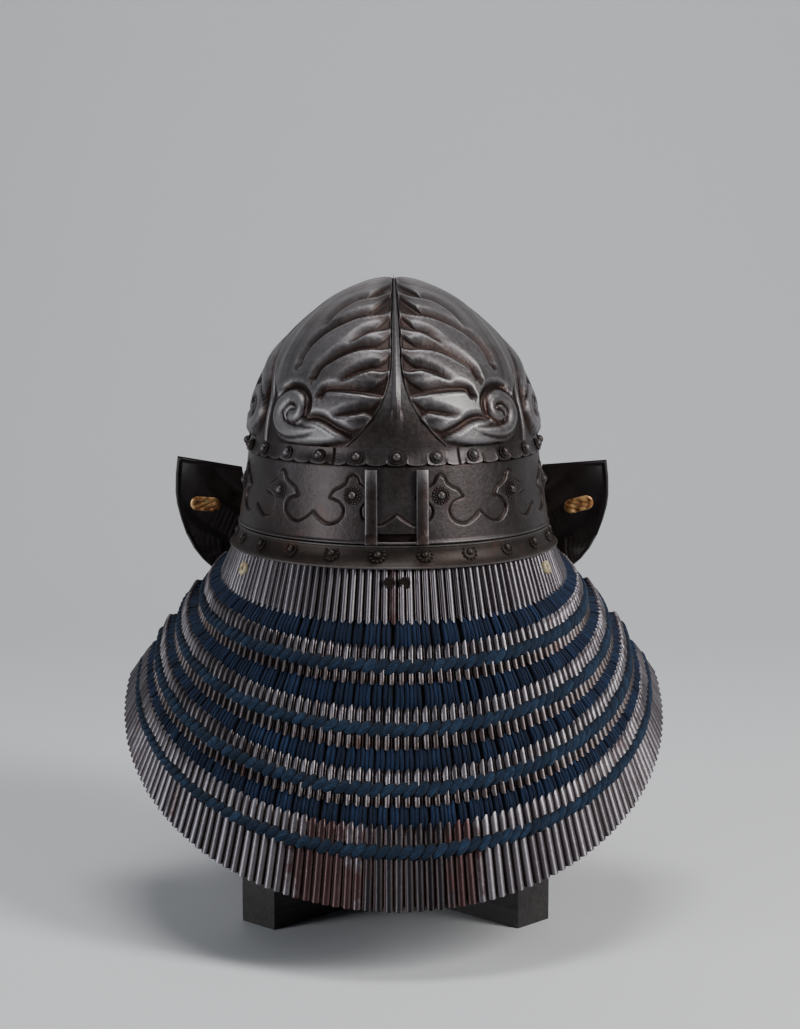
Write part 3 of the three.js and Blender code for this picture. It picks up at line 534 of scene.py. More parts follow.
# The furrows between the leaves, from the top: azimuth and height share along each, from the fin to its
# root. down is how far its flat floor reaches at the fin towards the leaf below it, in mm, and edge is the
# lower edge of the leaf above it, from the fin to where it meets the furrow. steep and gentle are the widths
# of its flanks, deep its depth and blunt how much of the depth is left at the root.
FURROWS = [
    {
        "line": [(1.3, 0.793), (19.3, 0.697), (35.5, 0.658), (44.2, 0.592), (46.9, 0.511), (47.2, 0.48)],
        "down": 1.8, "edge": [(0.9, 0.888), (23.2, 0.765), (34.5, 0.672)],
        "steep": 2.4, "gentle": 8.5, "blunt": 0.0, "deep": 2.9,
    },
    {
        "line": [(1.0, 0.633), (10.8, 0.587), (25.7, 0.557), (35.4, 0.516), (41.8, 0.476), (46.6, 0.421),
                 (48.2, 0.37), (47.8, 0.326)],
        "down": 1.8, "edge": [(1.0, 0.772), (13.0, 0.665), (27.0, 0.558)],
        "steep": 2.6, "gentle": 9.5, "blunt": 0.9, "deep": 3.6,
    },
    {
        "line": [(1.1, 0.526), (8.9, 0.501), (17.0, 0.477), (23.4, 0.44), (30.9, 0.378)],
        "down": 1.8, "edge": [(1.1, 0.61), (9.0, 0.548), (18.0, 0.476)],
        "steep": 2.4, "gentle": 7.5, "blunt": 0.0, "deep": 2.9,
    },
    {
        "line": [(1.1, 0.437), (7.8, 0.415), (17.6, 0.407), (24.6, 0.385), (30.0, 0.357), (34.9, 0.319),
                 (36.2, 0.276)],
        "down": 2.4, "edge": [(1.1, 0.505), (8.0, 0.455), (16.5, 0.41)],
        "steep": 2.6, "gentle": 9.5, "blunt": 0.9, "deep": 3.6,
    },
    {
        "line": [(1.7, 0.347), (6.5, 0.324), (11.3, 0.321), (16.6, 0.305), (23.6, 0.272), (27.1, 0.254)],
        "down": 3.4, "edge": [(1.4, 0.415), (7.0, 0.365), (14.5, 0.314)],
        "steep": 2.4, "gentle": 7.5, "blunt": 0.0, "deep": 2.9,
    },
    {
        "line": [(3.6, 0.254), (7.4, 0.228), (15.5, 0.234), (22.9, 0.238), (29.4, 0.234), (31.2, 0.209)],
        "down": 4.8, "edge": [(2.4, 0.32), (8.5, 0.272), (15.5, 0.236)],
        "steep": 3.0, "gentle": 8.0, "blunt": 0.9, "deep": 3.6,
    },
    {
        "line": [(7.2, 0.156), (11.9, 0.158), (16.2, 0.151), (22.4, 0.139), (30.1, 0.126)],
        "down": 4.6, "edge": [(4.6, 0.228), (10.0, 0.19), (17.5, 0.15)],
        "steep": 2.4, "gentle": 7.0, "blunt": 0.0, "deep": 3.0,
    },
    {
        "line": [(12.9, 0.076), (17.6, 0.075), (23.0, 0.093), (28.4, 0.12), (32.9, 0.129), (36.7, 0.12),
                 (38.9, 0.108)],
        "down": 3.0, "edge": [(8.6, 0.138), (14.0, 0.105), (20.5, 0.085)],
        "steep": 4.2, "gentle": 4.5, "blunt": 0.3, "deep": 3.3,
    },
]
# The foot of the embossing, from the lowest leaf's tip round the volute
LEAF_FOOT = [
    (16.8, 0.049), (20.8, 0.035), (26.7, 0.023), (35.2, 0.018), (44.3, 0.021), (50.7, 0.038), (53.8, 0.064),
    (56.5, 0.117), (56.6, 0.155), (56.6, 0.2),
]
# The moat round the volute
MOAT = [
    (52.5, 0.217), (47.5, 0.241), (42.0, 0.235), (37.6, 0.204), (36.3, 0.172), (36.8, 0.142), (39.3, 0.112),
]
# The volute's tube in two parts: azimuth, height share and radius in mm
COIL_OUTER = [
    (31.5, 0.082, 3.0), (37.5, 0.073, 3.9), (44.1, 0.071, 4.6), (49.5, 0.089, 5.4), (52.2, 0.131, 6.2),
    (50.6, 0.174, 5.7), (46.0, 0.2, 4.7), (42.5, 0.192, 4.2),
]
COIL_INNER = [
    (46.0, 0.2, 4.7), (42.5, 0.192, 4.2), (40.4, 0.17, 3.8), (40.4, 0.148, 3.9), (41.8, 0.131, 4.3),
    (43.8, 0.126, 4.5),
]
# The low ridge from the apex down to the volute
STEM = [(20, 0.93), (52.7, 0.774), (70, 0.663), (66.0, 0.524), (62.6, 0.422), (58.1, 0.29), (53.9, 0.195)]
RELIEF = 3.3
FIN_GAP = 0.5
SEAM_GAP = 3.2
FIN_POINTS = 26
SEAM_POINTS = 18


def spline(points, place):
    """Places on the smooth curve through the points: 0 is the first point, 1 the second, and so on."""
    knots = np.array(points, float)
    padded = np.concatenate([2 * knots[:1] - knots[1:2], knots, 2 * knots[-1:] - knots[-2:-1]])
    i = np.minimum(place.astype(int), len(knots) - 2)
    t = (place - i)[:, None]
    p = [padded[i + k] for k in range(4)]
    return 0.5 * (
        2 * p[1]
        + (p[2] - p[0]) * t
        + (2 * p[0] - 5 * p[1] + 4 * p[2] - p[3]) * t**2
        + (3 * p[1] - p[0] - 3 * p[2] + p[3]) * t**3
    )


def curve_points(points, count):
    """A smooth curve through chart points, as dome points, with unit tangents and surface normals."""
    chart = spline(points, np.linspace(0, len(points) - 1, count))
    points = on_dome(chart[:, 0], chart[:, 1] * 90)
    tangents = np.gradient(points, axis=0)
    tangents /= np.linalg.norm(tangents, axis=1)[:, None]
    return points, tangents, dome_normal(points)


def dome_normal(points):
    """About the outward normal of the dome at points on it."""
    centre = np.array([0, 0, DOME_BASE - 10])
    scale = np.array([DOME_HALF_WIDTH, DOME_HALF_LENGTH, DOME_HEIGHT]) ** 2
    normal = (points - centre) / scale
    return normal / np.linalg.norm(normal, axis=-1)[..., None]


def nearest(points, line):
    """For each point: its distance to a curve, the share along it, and on which side it lies."""
    on, tangents, normals = line
    batches = np.array_split(points, len(points) // 8192 + 1)
    gaps = [np.linalg.norm(batch[:, None, :] - on[None], axis=2) for batch in batches]
    index = np.concatenate([g.argmin(1) for g in gaps])
    distance = np.concatenate([g.min(1) for g in gaps])
    across = np.cross(normals[index], tangents[index])
    side = np.einsum("ij,ij->i", points - on[index], across)
    return distance, index / (len(on) - 1), side


def outline_points():
    """The embossing's outline: down the fin's side, along its foot and up the seam's side."""
    down, upward = np.linspace(0.97, 0.075, FIN_POINTS), np.linspace(0.27, 0.95, SEAM_POINTS)
    fin = [(azimuth_at(spade_half_width(90 * v) + FIN_GAP, 90 * v), v) for v in down]
    seam = [(seam_azimuth(90 * v) - seam_spread(90 * v, SEAM_GAP), v) for v in upward]
    return [(float(a), float(v)) for a, v in fin + LEAF_FOOT + seam]


FURROW_LINES = [curve_points(f["line"], 90) for f in FURROWS]
MOAT_LINE = curve_points(MOAT, 60)
COILS = [
    (curve_points([c[:2] for c in coil], 120), [c[2] for c in coil]) for coil in (COIL_OUTER, COIL_INNER)
]
EDGE_LINES = [curve_points(f["edge"], 60) for f in FURROWS]
STEM_LINE = curve_points(STEM, 90)
OUTLINE = outline_points()
OUTLINE_LINE = curve_points(OUTLINE, 420)
FIN_SHARE = (FIN_POINTS - 1) / (len(OUTLINE) - 1)
FOOT_SHARE = (FIN_POINTS - 1 + len(LEAF_FOOT)) / (len(OUTLINE) - 1)
# How wide the embossing's outer slope is beside the fin, along its foot and beside the seam
FIN_SLOPE, FOOT_SLOPE, SEAM_SLOPE = 1.1, 4.2, 3.0


def line_length(line):
    return float(np.linalg.norm(np.diff(line[0], axis=0), axis=1).sum())


def relief(azimuth, meridian):
    """Height of the embossing at places of the rear plate's chart, how far inside its outline each is,
    and how much of a leaf's crest it holds."""
    points = on_dome(azimuth, meridian)
    distance, share, side = nearest(points, OUTLINE_LINE)
    inside = np.where(side > 0, -distance, distance)
    slope = np.where(share < FIN_SHARE, FIN_SLOPE, np.where(share < FOOT_SHARE, FOOT_SLOPE, SEAM_SLOPE))
    body = RELIEF * np.sin(0.5 * np.pi * np.clip(inside / slope, 0, 1))
    cut = np.zeros(len(points))
    crest = np.zeros(len(points))
    for furrow, line, edge_line in zip(FURROWS, FURROW_LINES, EDGE_LINES):
        distance, share, side = nearest(points, line)
        run = share * line_length(line)
        below = side > 0
        floor = np.where(below, furrow["down"] * np.clip(1 - run / 11, 0, 1), 0)
        root = smooth(share, 0.5, 1.0)
        depth = furrow["deep"] * lerp(1, furrow["blunt"], root)
        gentle = furrow["gentle"] * lerp(0.6, 1, smooth(run, 0, 12)) * lerp(1, 0.6, root)
        steep = lerp(1.2, furrow["steep"], smooth(run, 0, 12)) * lerp(1, 0.8, root)
        width = np.where(below, steep, gentle)
        past = distance - floor
        flank = np.clip(1 - np.clip(past, 0, None) / width, 0, 1)
        cut = np.maximum(cut, depth * np.where(below, flank**0.8, flank**1.15))
        ridge = np.exp(-(((past - width) / 1.1) ** 2)) * below * smooth(share, -0.05, 0.02)
        crest = np.maximum(crest, ridge * (1 - root))
        # The bare ground between the furrow and the pointed leaf above it
        distance, share, side = nearest(points, edge_line)
        ground = smooth(distance, 0.0, 3.4) * (side > 0) * ~below * (1 - smooth(share, 0.9, 1.0))
        cut = np.maximum(cut, RELIEF * 0.94 * ground)
    distance, share, _ = nearest(points, MOAT_LINE)
    moat = 3.1 * np.clip(1 - distance / 3.4, 0, 1) ** 0.8
    cut = np.maximum(cut, moat * smooth(share, -0.05, 0.12) * (1 - smooth(share, 0.9, 1.02)))
    from_fin = np.abs(points[:, 0]) - spade_half_width(meridian)
    reach = lerp(0.42, 1.0, smooth(from_fin, 0, 14))
    height = np.clip(body - cut, 0.0, None) * reach
    within = np.zeros(len(points))
    coil_height = np.zeros(len(points))
    for number, (line, radii) in enumerate(COILS):
        distance, share, _ = nearest(points, line)
        radius = np.interp(share, np.linspace(0, 1, len(radii)), radii)
        start = smooth(share, 0.0, 0.4) if number == 0 else np.ones(len(points))
        roll = np.clip(1 - (distance / radius) ** 2, 0, 1) ** 0.55
        coil_height = np.maximum(coil_height, (0.3 + lerp(3.2, 3.9, start) * roll) * (roll > 0))
        within = np.maximum(within, (1 - smooth(distance - radius, -1.5, 1.2)) * start)
    height = np.maximum(height * (1 - 0.85 * within), coil_height * smooth(inside, -0.5, 1))
    distance, share, _ = nearest(points, STEM_LINE)
    stem = np.clip(1 - distance / 6.5, 0, 1) * (1 - 0.7 * smooth(share, 0.8, 1))
    height += 1.3 * stem * smooth(inside, 0.5, 4)
    height += 0.3 * crest * smooth(inside, 0, 2)
    return height, inside, crest * smooth(inside, 0, 2)


def plate_chart(is_front, columns, rows):
    """Azimuths and meridians of a plate's grid, the rear chart's azimuth for each, and the fin's distance."""
    share = np.linspace(0, 1, rows + 1)
    meridian = lerp(FOOT_ANGLE, TOP_ANGLE, 1 - (1 - share) ** 1.15)[:, None]
    across = np.linspace(0, 1, columns + 1)[None]
    near_fin = azimuth_at(spade_half_width(meridian) + 0.15, meridian)
    seam = seam_azimuth(meridian)
    gap = seam_spread(meridian, 2.0)
    if is_front:
        azimuth = lerp(180 - near_fin, seam + gap, across)
        past = azimuth - seam
        whole = 180 - seam
        chart = seam - past * lerp(1, seam / whole, smooth(past / whole, 0.25, 1))
    else:
        azimuth = lerp(near_fin, seam - gap, across)
        chart = azimuth.copy()
    meridian = np.broadcast_to(meridian, azimuth.shape)
    points = on_dome(azimuth, meridian)
    fin_edge = np.linalg.norm(points - points[:, :1], axis=2)
    return azimuth, meridian, chart, fin_edge


PLATE_OUT = 1.9
REAR_GRID = (200, 175)
FRONT_GRID = (130, 100)


def plate_piece(is_front, side, name, columns, rows):
    """An embossed plate with a thin raised lip beside the fin. Its rim runs down to the bowl."""
    azimuth, meridian, chart, fin_edge = plate_chart(is_front, columns, rows)
    height, inside, crest = (v.reshape(azimuth.shape) for v in relief(chart.ravel(), meridian.ravel()))
    lip = np.exp(-(((fin_edge - 0.8) / 0.6) ** 2)) * smooth(meridian, 2.5, 5)
    front = on_dome(azimuth, meridian, PLATE_OUT + height + 0.8 * lip)
    vertices = front.reshape(-1, 3)
    faces = grid_faces(columns, rows)
    across = columns + 1
    rim = [(0, c) for c in range(columns)] + [(r, columns) for r in range(rows)]
    rim += [(rows, c) for c in range(columns, 0, -1)] + [(r, 0) for r in range(rows, 0, -1)]
    foot = np.array([on_dome(azimuth[r, c], meridian[r, c], 0.3) for r, c in rim])
    start = len(vertices)
    for k, (r, c) in enumerate(rim):
        n = (k + 1) % len(rim)
        nr, nc = rim[n]
        faces.append((nr * across + nc, r * across + c, start + k, start + n))
    vertices = np.concatenate([vertices, foot])
    # Tone, partly wear and partly painted light: the relief is lighter the higher it stands, the lip and the
    # leaf crests get painted highlights, convex edges a painted highlight and concave ones painted shade
    around = sum(np.roll(height, step, axis) for axis in (0, 1) for step in (2, -2))
    tone = 0.06 + 0.66 * np.clip(height / RELIEF, 0, 1.15) + 0.45 * lip + 0.12 * crest
    tone = np.where(inside < 0, 0.30, tone)
    tone += np.clip((height - around / 4) * 1.3, -0.3, 0.14)
    tone = np.concatenate([tone.ravel(), np.full(len(foot), 0.1)])
    vertices[:, 0] *= side
    if side < 0:
        faces = flipped(faces)
    return add_mesh(name, vertices, faces, IRON, "iron", (name,), 80, tone=tone)


for side_name, side in SIDES:
    plate_piece(False, side, f"panel_rear_{side_name}", *REAR_GRID)
    plate_piece(True, side, f"panel_front_{side_name}", *FRONT_GRID)


# The share of the spade's columns that the fin takes
FIN_COLUMNS = 0.36


def spade_piece(name, facing):
    """The spade between two plates: a flat part and the fin, which stands up with a sharp crest."""
    rows, half = 90, 14
    share = np.linspace(0, 1, rows + 1)
    meridian = lerp(FOOT_ANGLE, 89.6, 1 - (1 - share) ** 1.3)
    width = spade_half_width(meridian)
    fin = np.minimum(2.5, 0.9 * width)
    columns = np.concatenate([-np.linspace(1, 0, half + 1)[:-1], np.linspace(0, 1, half + 1)])
    out = np.abs(columns)[None]
    past_fin = lerp(fin[:, None], width[:, None], (out - FIN_COLUMNS) / (1 - FIN_COLUMNS))
    x = np.where(out <= FIN_COLUMNS, out / FIN_COLUMNS * fin[:, None], past_fin)
    height = DOME_HEIGHT * np.sin(np.radians(meridian))
    ridge = np.clip(1 - x / fin[:, None], 0, 1) ** 0.9 * lerp(0.2, 1, smooth(height, 10, 45))[:, None]
    stands = (out <= FIN_COLUMNS + 0.01) * smooth(height, 8, 42)[:, None]
    raised = 1.8 + 1.9 * stands + 1.1 * ridge
    azimuth = azimuth_at(x, meridian[:, None])
    front = on_dome(azimuth, np.broadcast_to(meridian[:, None], azimuth.shape), raised)
    back = on_dome(azimuth, np.broadcast_to(meridian[:, None], azimuth.shape), 0.2)
    for sheet in (front, back):
        sheet[..., 0] = np.sign(columns)[None] * x
        sheet[..., 1] *= facing
    vertices, faces = closed_sheet(front, back)
    if facing > 0:
        faces = flipped(faces)
    # The spade is lighter higher up, and the fin's crest gets a painted highlight
    rising_tone = np.broadcast_to(lerp(0.34, 0.68, smooth(height, 12, 40))[:, None], ridge.shape)
    tone = np.concatenate([(rising_tone + 0.35 * ridge**3).ravel(), np.full(ridge.size, 0.2)])
    return add_mesh(name, vertices, faces, IRON, "iron", (name,), 30, tone=tone)


spade_piece("spade_rear", 1)
spade_piece("spade_front", -1)


def seam_piece(side, name):
    """A rounded rib over a seam."""
    rows, columns = 110, 8
    share = np.linspace(0, 1, rows + 1)
    meridian = lerp(FOOT_ANGLE, 86.5, share)[:, None]
    across = np.linspace(-1, 1, columns + 1)[None]
    spread = seam_spread(meridian, 2.3) * across
    wide = np.broadcast_to(meridian, spread.shape)
    ridge = np.sqrt(np.clip(1 - across**2, 0, 1)) * np.ones_like(spread)
    front = on_dome(seam_azimuth(meridian) + spread, wide, 1.2 + 2.6 * ridge)
    back = on_dome(seam_azimuth(meridian) + spread, wide, 0.2)
    front[..., 0] *= side
    back[..., 0] *= side
    vertices, faces = closed_sheet(front, back)
    if side < 0:
        faces = flipped(faces)
    # The rib is lighter towards its crest: wear and a painted highlight
    tone = np.concatenate([(0.2 + 0.6 * ridge).ravel(), np.full(ridge.size, 0.2)])
    return add_mesh(name, vertices, faces, IRON, "iron", (name,), 50, tone=tone)


for side_name, side in SIDES:
    seam_piece(side, f"seam_rib_{side_name}")


# The riveted band at the foot of the dome: its rivets, the azimuths of its joints, and its scallops
UPPER_RIVETS = 24
JOINTS = (23.9, 336.1, 156.1, 203.9)
SCALLOP_TURN = 7.5
SCALLOP_DEPTH = 2.0


def crown_band_piece():
    """The foot of the dome's plates: flush with them above, scalloped below, with four joints."""
    columns, rows = 960, 8
    azimuth = np.arange(columns) * 360 / columns
    phase = (azimuth / SCALLOP_TURN + 0.5) % 1
    scallop = SCALLOP_DEPTH * (1 - np.sqrt(np.clip(1 - (2 * phase - 1) ** 2, 0, 1)))
    joint = np.zeros(columns)
    for middle in JOINTS:
        away = np.abs((azimuth - middle + 180) % 360 - 180) * 1.7
        joint = np.maximum(joint, np.exp(-((away / 0.5) ** 2)))
    low = on_waist(1 - 1.6 / WAIST_HEIGHT, 0.9)
    top = math.radians(FOOT_ANGLE + 0.35)
    fullness = math.cos(top) ** DOME_FULLNESS
    out = PLATE_OUT - 0.08
    high = ring(
        (DOME_HALF_WIDTH + out) * fullness,
        (DOME_HALF_LENGTH + out) * fullness,
        DOME_BASE + (DOME_HEIGHT + out) * math.sin(top),
    )
    front, back, tones = [], [], []
    for r in range(rows + 1):
        t = r / rows
        curve = 1 - (1 - t) ** 2
        base = on_ring(np.array([*lerp(low, high, curve)[:2], *lerp(low, high, t)[2:]]), azimuth)
        base[:, 2] += (scallop - 1.0) * (1 - t) ** 2
        normal = base * np.array([1 / 90**2, 1 / 109**2, 0])
        normal /= np.linalg.norm(normal, axis=1)[:, None]
        bulge = 1.55 * (1 - t) ** 2 - (0.35 if r == 0 else 0)
        front.append(base + normal * (bulge - 0.7 * joint)[:, None])
        back.append(base - normal * 1.2)
        # The scalloped lower edge gets a painted highlight against the waist's painted shadow below it; the
        # joints are darker
        tones.append((0.6 if r == 0 else 0.42) - 0.5 * joint)
    vertices, faces = closed_sheet(np.array(front), np.array(back), True)
    faces = flipped(faces)
    tone = np.concatenate([np.concatenate(tones), np.full(len(front) * columns, 0.1)])
    return add_mesh("crown_band", vertices, faces, IRON, "iron", ("crown_band",), 50, tone=tone)


crown_band_piece()


def rosette(petals, radius, dome, washer=1.0, tiers=1):
    """A rivet with a beaded washer: rings of small beads round a domed head."""
    vertices, faces, tone = [], [], []
    count = 0

    def take(v, f, t):
        nonlocal count
        vertices.append(v)
        faces.extend([tuple(i + count for i in face) for face in f])
        tone.extend([t] * len(v) if np.ndim(t) == 0 else list(t))
        count += len(v)

    side = radius * 0.97
    profile = [(side, -0.6), (side, 0.35 * washer), (radius * 0.8, 0.55 * washer), (0, 0.6 * washer)]
    take(*lathe(profile, 32), 0.15)
    for tier in range(tiers):
        ring_radius = radius * (0.88 - 0.24 * tier)
        size = math.pi * ring_radius / petals * 0.94
        lift = (0.3 + 0.6 * tier) * washer
        for k in range(petals):
            a = 2 * math.pi * (k + 0.5 * tier) / petals
            profile = [(size, -0.2), (size * 0.95, 0.35 * size), (size * 0.6, 0.8 * size), (0, size)]
            v, f = lathe(profile, 6)
            v = v + np.array([ring_radius * math.cos(a), ring_radius * math.sin(a), lift])
            take(v, f, 0.36)
    foot, rise = 0.75 * washer, 0.92 * dome
    profile = [(dome * 1.12, 0.4 * washer), (dome * 1.1, foot)]
    profile += [(dome * math.cos(t), foot + rise * math.sin(t)) for t in (0.0, 0.35, 0.7, 1.05, 1.3)]
    profile.append((0, foot + rise))
    v, f = lathe(profile, 18)
    # The domed head is painted lighter towards its top, as a highlight
    take(v, f, np.clip(0.1 + 0.5 * v[:, 2] / dome, 0, 0.6))
    return np.concatenate(vertices), faces, np.array(tone)


def upper_rivets():
    batch = Batch()
    v, f, tone = rosette(petals=18, radius=4.0, dome=2.75, washer=0.9)
    low = on_waist(1 - 1.6 / WAIST_HEIGHT, 2.4)
    high = ring(DOME_HALF_WIDTH + PLATE_OUT, DOME_HALF_LENGTH + PLATE_OUT, CROWN_BAND_TOP)
    for k in range(UPPER_RIVETS):
        azimuth = 360 * k / UPPER_RIVETS
        normal = wall_normal(low, high, azimuth)
        batch.add(placed(v, on_ring(lerp(low, high, 0.46), azimuth), normal), f, tone=tone)
    batch.build("crown_rivets", IRON, "iron", (), 40)


upper_rivets()


# The waist: a recessed sheet, and the raised sheet over it with its ornamental edge. The edge runs from
# the tip of the flame round a rivet, by its barb and the lobe under it, to the cusp between two rivets, in
# degrees from the rivet and shares of the waist's height. RIVETS holds azimuths, and BAYS the middle and
# half span of each bay between two rivets.
FLAME = [(0, 0.83), (1.5, 0.79), (2.3, 0.725), (4.2, 0.675), (6.8, 0.63), (8.5, 0.55)]
LOBE = [
    (8.5, 0.55), (6.4, 0.53), (4.3, 0.495), (2.9, 0.42), (3.4, 0.32), (5.9, 0.24), (9.5, 0.222), (13, 0.285),
    (15.5, 0.355),
]
HALF_BAY = 15.5
RIVETS = [16, 47, 78, 109, 140, 171]
BAYS = [(0, 16)] + [(rivet + HALF_BAY, HALF_BAY) for rivet in RIVETS[:-1]] + [(180, 9)]
RIVET_HEIGHT = 28.5


def rounded(points, steps=6):
    """The points joined by a smooth curve that keeps its first and last corners."""
    return spline(points, np.arange((len(points) - 1) * steps + 1) / steps)


def bay_outline(middle, half_span):
    """A bay between two rivets as a closed run of azimuth and height share."""
    half = np.concatenate([rounded(FLAME), rounded(LOBE)[1:]])
    half[:, 0] *= half_span / HALF_BAY
    left = np.stack([middle - half_span + half[:, 0], half[:, 1]], -1)
    right = np.stack([middle + half_span - half[::-1, 0], half[::-1, 1]], -1)[1:]
    past = half_span + 6
    top = [(middle + past, 0.86), (middle + past, 1.6), (middle - past, 1.6), (middle - past, 0.86)]
    return np.concatenate([left, right, top])


def edge_distance(azimuth, share):
    """How far each place of the waist is from the raised sheet's edge in mm, negative in the recess."""
    scale = np.array([1.86, WAIST_HEIGHT])
    places = np.stack([azimuth, share], -1) * scale
    result = np.full(len(places), 50.0)
    for middle, half_span in BAYS:
        line = bay_outline(middle, half_span) * scale
        near = (places[:, 0] > line[:, 0].min() - 8) & (places[:, 0] < line[:, 0].max() + 8)
        q = places[near]
        best = np.full(len(q), 1e9)
        inside = np.zeros(len(q), bool)
        for a, b in zip(line, np.roll(line, -1, 0)):
            ab = b - a
            t = np.clip(((q - a) @ ab) / (ab @ ab + 1e-12), 0, 1)
            best = np.minimum(best, np.linalg.norm(q - a - t[:, None] * ab, axis=1))
            if a[1] != b[1]:
                crosses = (a[1] > q[:, 1]) != (b[1] > q[:, 1])
                at = a[0] + (q[:, 1] - a[1]) * (b[0] - a[0]) / (b[1] - a[1])
                inside ^= crosses & (q[:, 0] < at)
        result[near] = np.minimum(result[near], np.where(inside, -best, best))
    return result


def waist_piece():
    """The waist's skin, with the bays sunk into it, a slot between the straps and a bead at its foot."""
    rows = 85
    azimuth = np.concatenate([np.arange(-100, 100, 0.36), np.arange(100, 260, 1.0)])
    columns = len(azimuth)
    share = np.linspace(0, 1, rows + 1)
    az, up = np.meshgrid(azimuth, share)
    folded = np.abs((az + 180) % 360 - 180)
    distance = edge_distance(folded.ravel(), up.ravel()).reshape(az.shape)
    raised = smooth(distance, -0.25, 0.75)
    groove = np.exp(-(((distance + 0.55) / 0.6) ** 2))
    lip = np.exp(-(((distance - 0.9) / 0.6) ** 2))
    height = up * WAIST_HEIGHT
    out = 0.75 + 1.15 * raised - 0.55 * groove
    slot = smooth(2.1 - np.abs(height - 3.7), -0.3, 0.3) * (folded < 6.7)
    bead = 0.9 * np.exp(-(((height - 0.8) / 0.8) ** 2))
    out = out + bead - 2.2 * slot - 0.5 * smooth(up, 0.93, 0.955)
    front = on_ring(lerp(WAIST_LOW, WAIST_HIGH, up[..., None]), az)
    normal = front * np.array([1 / 95**2, 1 / 113**2, 0])
    normal /= np.linalg.norm(normal, axis=2)[..., None]
    inner = front[[0, -1]] - normal[[0, -1]] * 1.6
    front = front + normal * out[..., None]
    start = front.shape[0] * columns
    vertices = np.concatenate([front.reshape(-1, 3), inner.reshape(-1, 3)])
    faces = grid_faces(columns, rows, loop=True, flip=True) + grid_faces(columns, 1, start, True)
    top = rows * columns
    for c in range(columns):
        n = (c + 1) % columns
        faces.append((c, n, start + n, start + c))
        faces.append((top + n, top + c, start + columns + c, start + columns + n))
    # Painted shadow under the crown band, painted shade in the groove and the slot, and painted highlights
    # along the raised sheet's lip and on the bead
    band_shadow = smooth(up, 0.91, 0.95)
    tone = 0.42 + 0.14 * lip - 0.5 * groove + 0.2 * (bead > 0.6) - 0.6 * slot - 0.5 * band_shadow
    tone = np.concatenate([tone.ravel(), np.full(2 * columns, 0.1)])
    return add_mesh(
        "waist", vertices, faces, IRON, "iron", ("waist_band", "waist_overlay"), 60, tone=tone
    )


waist_piece()


def waist_rivets():
    v, f, tone = rosette(petals=16, radius=5.6, dome=2.6, washer=1.15, tiers=2)
    for azimuth in RIVETS:
        for side_name, side in SIDES:
            batch = Batch()
            low, high = on_waist(0, OVERLAY_OUT), on_waist(1, OVERLAY_OUT)
            normal = wall_normal(low, high, side * azimuth)
            origin = on_ring(lerp(low, high, RIVET_HEIGHT / WAIST_HEIGHT), side * azimuth)
            batch.add(placed(v, origin, normal), f, tone=tone)
            name = f"waist_rivet_{azimuth}_{side_name}"
            batch.build(name, IRON, "iron", (name,), 40)


waist_rivets()


# A strap's place and half width, and its path from the top: height on the waist and distance out
STRAP_X = 15.4
STRAP_HALF_WIDTH = 3.75
STRAP_PATH = [
    (44.0, 0.15), (43.4, 0.25), (30, 0.25), (15, 0.25), (6.5, 0.3), (4.6, 0.9), (2.6, 2.3), (1.0, 3.2),
    (0.3, 3.0),
]


def strap_piece(side_name, side):
    """A flat strap with rounded edges, painted lighter, and a hooked foot."""
    middle = side * STRAP_X
    xs = np.array([-1, -0.9, -0.72, 0, 0.72, 0.9, 1]) * STRAP_HALF_WIDTH
    crown = np.array([0, 1.5, 1.75, 1.7, 1.75, 1.5, 0])
    front, back = [], []
    for height, out in STRAP_PATH:
        base = on_waist(height / WAIST_HEIGHT, OVERLAY_OUT + out)
        x = middle + xs
        y = base[1] * np.sqrt(1 - (x / base[0]) ** 2)
        z = np.full(len(xs), WAIST_BOTTOM + height)
        front.append(np.stack([x, y + crown, z], -1))
        back.append(np.stack([x, y - 0.4, z], -1))
    vertices, faces = closed_sheet(np.array(front), np.array(back))
    # Tone: lighter along the edges and at the top, darker where the foot hooks out
    rim = np.array([0.95, 0.9, 0.35, 0.25, 0.35, 0.9, 0.95])
    rows = [rim + (0.5 if k < 2 else 0) - (0.25 if k in (5, 6) else 0) for k in range(len(STRAP_PATH))]
    tone = np.concatenate([np.concatenate(rows), np.full(len(STRAP_PATH) * len(xs), 0.1)])
    name = f"strap_{side_name}"
    add_mesh(name, vertices, faces, IRON, "iron", (name,), 30, tone=tone)


for side_name, side in SIDES:
    strap_piece(side_name, side)


def flange_piece():
    """The beaded, flared rim with its rolled lower edge."""
    columns = 480
    azimuth = np.arange(columns) * 360 / columns
    outer = [grow(RIM, -0.9, -0.2), grow(RIM, 0.1, 0.1), grow(RIM, 0.2, 0.9), grow(RIM, -0.9, 1.6)]
    for t in (0.22, 0.4, 0.58, 0.76, 0.92):
        outer.append(grow(lerp(RIM, FLANGE_NECK, t), -1.5 * math.sin(math.pi * t)))
    outer += [grow(FLANGE_NECK, 0.1, 0.9), grow(FLANGE_NECK, 0.85, 1.5)]
    outer += [grow(FLANGE_TOP, -0.1, -0.5), grow(FLANGE_TOP, -0.9, 0.0)]
    # The rolled edge and the bead are lighter and the neck darker: wear, painted highlights and painted shade
    tones = [0.5, 0.75, 0.75, 0.35, 0.3, 0.3, 0.3, 0.3, 0.25, 0.5, 0.8, 0.75, 0.3]
    inner = [grow(b, -2.4) for b in outer]
    front = np.array([on_ring(b, azimuth) for b in outer])
    back = np.array([on_ring(b, azimuth) for b in inner])
    vertices, faces = closed_sheet(front, back, True)
    faces = flipped(faces)
    tone = np.concatenate([np.repeat(tones, columns), np.full(len(outer) * columns, 0.1)])
    add_mesh("base_flange", vertices, faces, IRON_FLANGE, "iron", ("base_flange",), 45, tone=tone)


flange_piece()


FLANGE_RIVETS = 22


